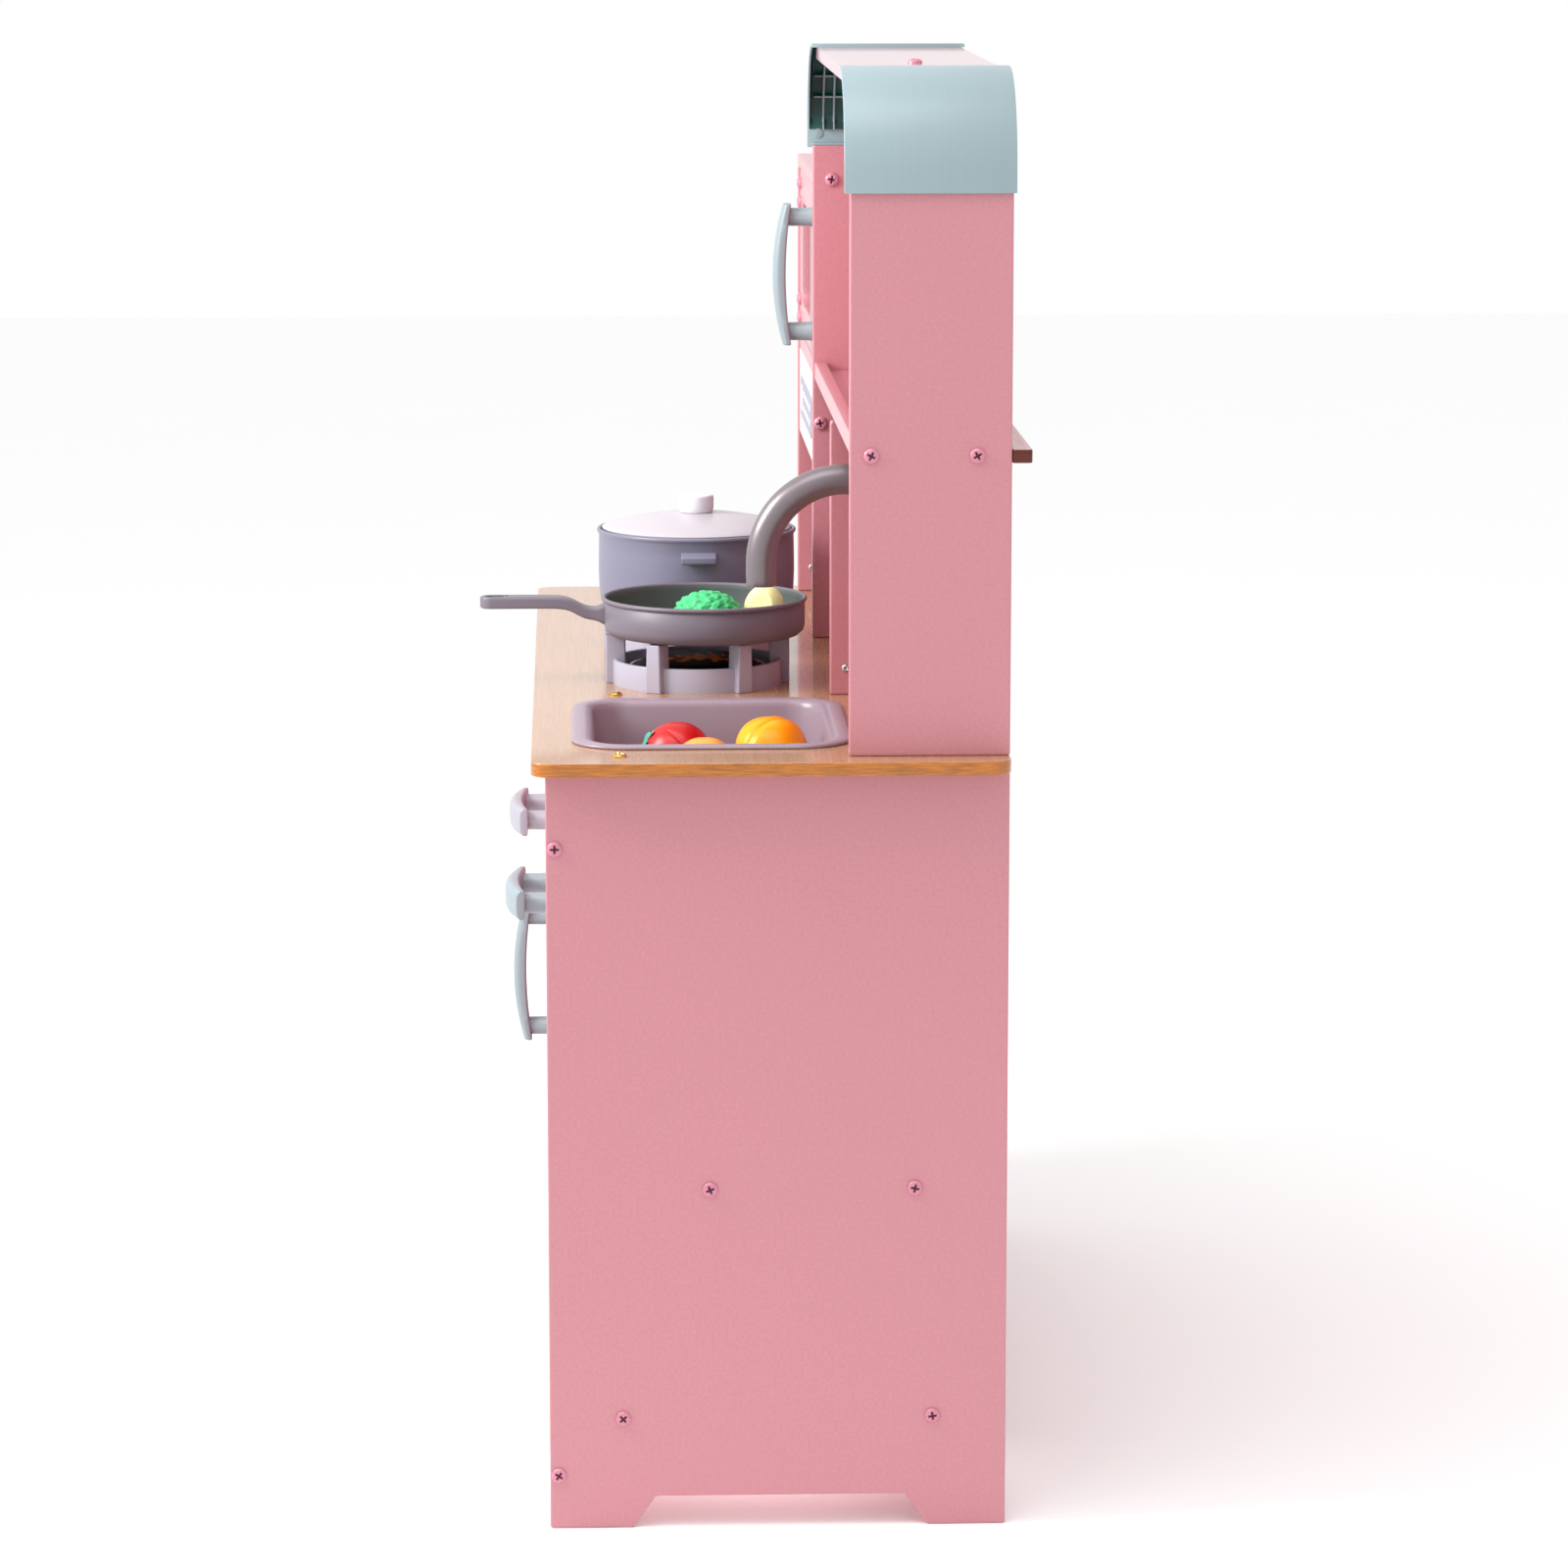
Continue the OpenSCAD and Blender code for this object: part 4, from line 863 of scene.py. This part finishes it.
def bow_handle(spacing, centre, upright):
    """A bar swept along a shallow bow. At u from -1 to 1 its front lies at
    -reach + bow * u**2 and its thickness falls from mid_bar to end_bar; the section is a
    superellipse, drawn in over the last stretch for a soft end."""
    half = spacing / 2 + 0.00975
    plain, tip = 0.975, 0.025
    ease = plain + tip * np.sin(np.linspace(0, math.pi / 2, 7))
    u = np.concatenate((-ease[:0:-1], np.linspace(-plain, plain, 35), ease[1:]))
    over = np.clip((abs(u) - plain) / tip, 0, 1)
    soft = 0.84 + 0.16 * np.sqrt(1 - over ** 2)
    front = -handle_reach + bow_outer * u ** 2
    thick = mid_bar + (end_bar - mid_bar) * u ** 2
    sides = 40
    a = np.linspace(0, 2 * math.pi, sides, endpoint=False)
    power = 0.30
    wide = np.sign(np.cos(a)) * abs(np.cos(a)) ** power
    deep = np.sign(np.sin(a)) * abs(np.sin(a)) ** power
    along = np.broadcast_to((u * half)[:, None], (len(u), sides))
    across = (soft * bar_width / 2)[:, None] * wide
    crown = 0.0022 * wide ** 4 * (deep < 0)
    depth = (front + thick / 2)[:, None] + (soft * thick / 2)[:, None] * deep + crown
    layers = (across, depth, along) if upright else (along, depth, across)
    bar = np.stack(layers, -1).reshape(-1, 3) + centre
    last = (len(u) - 1) * sides
    parts = [(bar, ring_faces(len(u), sides),
              ([list(range(sides))], [list(range(last, last + sides))]))]
    post_end = -(handle_reach - mid_bar) - 0.001
    for way in (-1, 1):
        shift = (0, 0, way * spacing / 2) if upright else (way * spacing / 2, 0, 0)
        post = [(0, 0), (post_r + 0.0004, 0), (post_r + 0.0004, -0.0006), (post_r, -0.0014),
                (post_r - 0.0003, post_end), (0, post_end)]
        parts.append(turned(post, np.array(centre) + shift, "y", sides))
    return parts


# The oven's white grip is coloured grey, darker than the white knob: painted shade.
shaded_white_grip = moulded("white grip plastic with painted shade", srgb(160, 158, 168), 0.36, 0.01)
for door, spacing, upright, plastic in (
    ("sink_door", 0.070, False, mint), ("oven_door", 0.070, False, shaded_white_grip),
    ("pantry_door", 0.084, True, mint), ("microwave_door", 0.084, True, mint),
):
    low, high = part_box(door + "_handle")
    centre = ((low.x + high.x) / 2, high.y, (low.z + high.z) / 2)
    make(door + "_bow", bow_handle(spacing, centre, upright), door, plastic,
         [door + "_handle"], 45)

# ---- Screws ---------------------------------------------------------------------------
# Pan-head screws with a cross recess, painted pink where they show on the boards, brass on
# the countertop and plain zinc low on the hutch panels.


def cross_screw(head_r, head_h, axis, turn):
    """A domed head as rings about its middle. The height at radius r is the dome's, less
    the cross recess, which is deep where a point is within a slot's half width of either arm."""
    sides = 48
    radii = np.concatenate((np.linspace(0, 0.60, 18), (0.68, 0.76, 0.84, 0.91, 0.96, 1.0))) * head_r
    a = np.linspace(0, 2 * math.pi, sides, endpoint=False)
    r = radii[:, None]
    x, y = r * np.cos(a), r * np.sin(a)
    u = x * math.cos(turn) - y * math.sin(turn)
    v = x * math.sin(turn) + y * math.cos(turn)
    dome = head_h * np.sqrt(np.clip(1 - 0.80 * (r / head_r) ** 2.6, 0, 1)) + 0 * x
    narrow = np.minimum(abs(u), abs(v)) / (0.13 * head_r)
    ends = np.maximum(abs(u), abs(v)) / (0.52 * head_r)
    # This mask cuts the recess and is also returned as the points' shade, which paints the recess dark:
    # painted shade.
    shaded_inside = 1 / (1 + np.exp(np.clip((np.maximum(narrow, ends) - 1) * 9, -40, 40)))
    height = dome - shaded_inside * head_h * 0.6
    foot = np.zeros((1, sides))
    height = np.concatenate((height, foot))
    x, y = np.concatenate((x, x[-1:])), np.concatenate((y, y[-1:]))
    layers = {"x": (height, x, y), "y": (x, height, y), "z": (x, y, height)}[axis]
    return np.stack(layers, -1), np.concatenate((shaded_inside, foot)).ravel()


def screw_group(name, places, head_r, head_h, body, finish, replaces):
    """Every head of one kind in one piece. A place is (centre, outward direction)."""
    parts = []
    for number, (centre, outward) in enumerate(places):
        axis = "xyz"[int(np.argmax(np.abs(outward)))]
        way = 1 if sum(outward) > 0 else -1
        points, recess = cross_screw(head_r, head_h, axis, 0.6 * number)
        points = points * [way if k == axis else 1 for k in "xyz"] + np.array(centre)
        rings, sides = points.shape[:2]
        underside = [list(range((rings - 1) * sides, rings * sides))]
        parts.append((points.reshape(-1, 3), ring_faces(rings, sides), (underside, []), recess))
    return make(name, parts, body, finish, replaces, 40)


pink_head = Finish("pink screw paint", srgb(205, 132, 152), 0.26, Metallic=0.15)
chips = pink_head.noise(900, 3)
# Points in the cross recess take dark pink: painted shade.
pink_head.set("Base Color", pink_head.mix(pink_head.painted(), pink_head.shade(0.08, chips),
                                          srgb(72, 22, 40)))
pink_head.set("Roughness", 0.2 + chips * 0.14)
head_r, head_h = 0.00485, 0.003
hutch_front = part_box("hutch_side_right")[0].y
row_y = (fascia_low.y + fascia_back) / 2
shelf_z, bottom_z = 0.227, 0.074
hutch_rows = (hutch_front + 0.0138, hutch_front + 0.0814)
side_spots = [
    (row_y, 0.452), (row_y, 0.036), (cabinet_front_y + 0.105, shelf_z),
    (cabinet_front_y + 0.238, shelf_z), (cabinet_front_y + 0.048, bottom_z),
    (cabinet_front_y + 0.250, bottom_z), (hutch_rows[0], 0.704), (hutch_rows[1], 0.704)]
places = [((way * side_face_x, y, z), (way, 0, 0)) for way in (1, -1) for y, z in side_spots]
inner_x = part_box("hutch_side_middle")[1].x
upper_z = (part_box("left_unit_top")[0].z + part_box("left_unit_top")[1].z) / 2
panel_y, panel_z = (sum(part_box("display_panel"), Vector()) / 2).yz
places += [((inner_x, y, z), (1, 0, 0)) for y, z in (
    (hutch_rows[0], upper_z), (hutch_rows[1], upper_z), (panel_y, panel_z))]
top_low, top_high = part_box("hutch_top_board")
top_screw_out = 0.093
places.append((((top_low.x + top_high.x) / 2 + top_screw_out, (top_low.y + top_high.y) / 2, top_high.z),
               (0, 0, 1)))
screw_group("panel_screw_heads", places, head_r, head_h, "cabinet", pink_head.material,
            ["panel_screws"])

strap_low, strap_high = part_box("microwave_hinge_screws")
door_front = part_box("microwave_door")[0].y
hinge_x = (strap_low.x + strap_high.x) / 2
pair_pitch = 0.0143
lowest, highest = strap_low.z + head_r, strap_high.z - head_r
hinge_z = (lowest, lowest + pair_pitch, highest - pair_pitch, highest)
screw_group("hinge_screw_heads", [((hinge_x, door_front, z), (0, -1, 0)) for z in hinge_z], head_r, head_h,
            "microwave_door", pink_head.material, ["microwave_hinge_screws"])

brass = Finish("brass", srgb(222, 182, 110), 0.22, Metallic=1.0)
brass.set("Base Color", brass.shade(0.06, brass.noise(700, 2)))
brass.set("Roughness", 0.16 + brass.noise(400, 2) * 0.16)
divider_x = sum(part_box("divider_right")[k].x for k in (0, 1)) / 2
edge_x = sum(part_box("side_panel_right")[k].x for k in (0, 1)) / 2
brass_y = cabinet_front_y + 0.0475
screw_group("counter_screw_heads",
            [((way * x, brass_y, worktop_z), (0, 0, 1)) for way in (1, -1) for x in (divider_x, edge_x)],
            head_r, 0.0026, "cabinet", brass.material, ["counter_screws"])

zinc = Finish("zinc", srgb(196, 196, 200), 0.28, Metallic=1.0)
zinc.set("Base Color", zinc.shade(0.05, zinc.noise(500, 2)))
zinc.set("Roughness", 0.2 + zinc.noise(700, 2) * 0.2)
low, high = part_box("bracket_screws")
bracket_y, bracket_z = (low.y + high.y) / 2, (low.z + high.z) / 2
divider_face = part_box("hutch_divider")[1].x
inner_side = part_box("hutch_side_right")[0].x
screw_group("bracket_screw_heads", [
    ((-inner_side, bracket_y, bracket_z), (1, 0, 0)), ((divider_face, bracket_y, bracket_z), (1, 0, 0)),
    ((-divider_face, bracket_y, bracket_z), (-1, 0, 0)), ((inner_side, bracket_y, bracket_z), (-1, 0, 0))],
    0.0025, 0.0016, "cabinet", zinc.material, ["bracket_screws"])

# The pins, straps and magnet catches keep their working shapes and only take a finish.
for name in ("hinge_pins", "microwave_hinge_straps"):
    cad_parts[name].data.materials.clear()
    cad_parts[name].data.materials.append(zinc.material)
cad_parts["door_magnets"].data.materials.clear()
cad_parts["door_magnets"].data.materials.append(white_plastic)

# ---- Play food ------------------------------------------------------------------------
# Hollow moulded toy food, left in the pan and in the sink. Each is a ball whose radius is
# varied over its directions, then flattened where it lies.


def food(name, bumps, finish, sink=0.12, rows=64, columns=96):
    """A ball fitted to the CAD node's box: the radius at each direction is 1 + bumps(direction),
    and whatever falls below the resting plane is pressed flat onto it."""
    low, high = (np.array(c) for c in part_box(name))
    lat = np.linspace(-math.pi / 2, math.pi / 2, rows)[:, None]
    lon = np.linspace(0, 2 * math.pi, columns, endpoint=False)[None, :]
    way = np.stack((np.cos(lat) * np.cos(lon), np.cos(lat) * np.sin(lon), np.sin(lat) + 0 * lon), -1)
    swell = 1 + bumps(way)
    ball = way * swell[..., None]
    span = np.abs(ball).reshape(-1, 3).max(0)
    ball = ball / span
    centre, half = (low + high) / 2, (high - low) / 2
    points = centre + ball * half * (1, 1, 1 + sink) + (0, 0, -half[2] * sink)
    points[..., 2] = np.maximum(points[..., 2], low[2] + 0.0001)
    part = (points.reshape(-1, 3), ring_faces(rows, columns), ([], []))
    return make(name + "_moulded", [part], name, finish, [name], 60)


def spots(count):
    """Directions spread evenly over a ball along a golden-angle spiral."""
    k = np.arange(count) + 0.5
    z = 1 - 2 * k / count
    turn = k * math.pi * (3 - math.sqrt(5))
    return np.stack((np.sqrt(1 - z * z) * np.cos(turn), np.sqrt(1 - z * z) * np.sin(turn), z), 1)


def boxy(way, power):
    """A superball's radius less 1: (|x|**p + |y|**p + |z|**p) ** (-1 / p) - 1."""
    return (np.abs(way) ** power).sum(-1) ** (-1 / power) - 1


def knobbly(way, count, width, height):
    """Round knobs: each spot adds height * exp(-(angle / width) ** 2), and the largest counts."""
    near = np.clip(way @ spots(count).T, -1, 1)
    return height * np.exp(-(np.arccos(near) / width) ** 2).max(-1)


floret = moulded("green floret", srgb(64, 190, 118), 0.5, 0.10, 0.3)
food("toy_broccoli", lambda w: knobbly(w, 90, 0.16, 0.10) + knobbly(w, 420, 0.07, 0.035) - 0.10, floret,
     0.10, 110, 180)
potato_skin = moulded("cream skin", srgb(242, 236, 170), 0.45, 0.03, 0.15)
cut_way = np.array((0.92, -0.30, 0.25))
food("toy_potato",
     lambda w: np.minimum(0.04 * w[..., 2] * w[..., 1], 0.80 / np.maximum(w @ cut_way, 0.3) - 1),
     potato_skin)
tomato_skin = moulded("red skin", srgb(188, 4, 4), 0.34, 0.04)
seam_way = np.array((-0.55, 0.60, 0.25))
food("toy_tomato", lambda w: boxy(w, 2.2) - 0.045 * np.exp(-((w @ seam_way + 0.22) / 0.035) ** 2),
     tomato_skin)


def orange_finish(name, pale, deep):
    """Orange skin that deepens towards one side, as the moulding's sprayed tint does."""
    skin = Finish(name, pale, 0.30, Specular_IOR_Level=0.3)
    slope = skin.node("ShaderNodeSeparateXYZ", {}, {0: skin.place}, 1)
    tint = (slope * 12 + skin.noise(60, 2) * 0.6).band(0.1, 1.1)
    skin.set("Base Color", skin.mix(tint, pale, deep))
    skin.set("Roughness", 0.24 + skin.noise(900, 2) * 0.12)
    skin.bump(skin.noise(700, 2), 0.08, 0.0004)
    return skin.material


pepper_skin = orange_finish("orange skin", srgb(255, 178, 4), srgb(247, 124, 6))
crease_way = np.array((0.55, 0.60, -0.25))
food("toy_pepper", lambda w: boxy(w, 2.5) - 0.04 * np.exp(-((w @ crease_way + 0.06) / 0.07) ** 2)
     + 0.08 * w[..., 1] * (1 - 0.5 * w[..., 2]), pepper_skin)
carrot_skin = moulded("carrot skin", srgb(255, 160, 60), 0.32, 0.05, 0.1)
food("toy_carrot", lambda w: boxy(w, 3) + 0.02 * np.sin(14 * w[..., 2]), carrot_skin)

leaf_teal = moulded("teal leaf", srgb(64, 170, 150), 0.4, 0.06)
low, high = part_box("toy_tomato")
t = np.linspace(0, 2 * math.pi, 80, endpoint=False)
star = 0.007 + 0.010 * (0.5 + 0.5 * np.cos(5 * t)) ** 1.5
spread = np.concatenate((np.linspace(0, 1, 9), np.linspace(1, 0, 9)))[:, None] * star
droop = -18.0 * spread ** 2 - np.repeat((0.0, 0.0012), 9)[:, None]
tilt = math.radians(52)
leaf = np.stack((spread * np.cos(t), spread * np.sin(t) * math.cos(tilt) - droop * -math.sin(tilt),
                 spread * np.sin(t) * math.sin(tilt) + droop * math.cos(tilt)), -1)
half = (high.y - low.y) / 2
leaf += ((low.x + high.x) / 2, low.y + half * 0.10, (low.z + high.z) / 2 + half * 0.46)
leaf_part = (leaf.reshape(-1, 3), ring_faces(*leaf.shape[:2]), ([], []))
make("tomato_leaf", [leaf_part], "toy_tomato", leaf_teal)

# ---- Floor ----------------------------------------------------------------------------
# A plain, matt and nearly white floor under the feet, far wider than the kitchen. It belongs
# to the studio and isn't a piece of the kitchen.

floor_paint = Finish("studio floor", (0.965, 0.965, 0.965, 1), 0.9)
floor_paint.set("Base Color", floor_paint.shade(0.004, floor_paint.noise(3, 1)))
floor_mesh = bpy.data.meshes.new("floor")
span = 9.0
floor_mesh.from_pydata([(-span, -span, 0), (span, -span, 0), (span, span, 0), (-span, span, 0)], [],
                       [(0, 1, 2, 3)])
floor_mesh.materials.append(floor_paint.material)
floor = bpy.data.objects.new("floor", floor_mesh)
scene.collection.objects.link(floor)
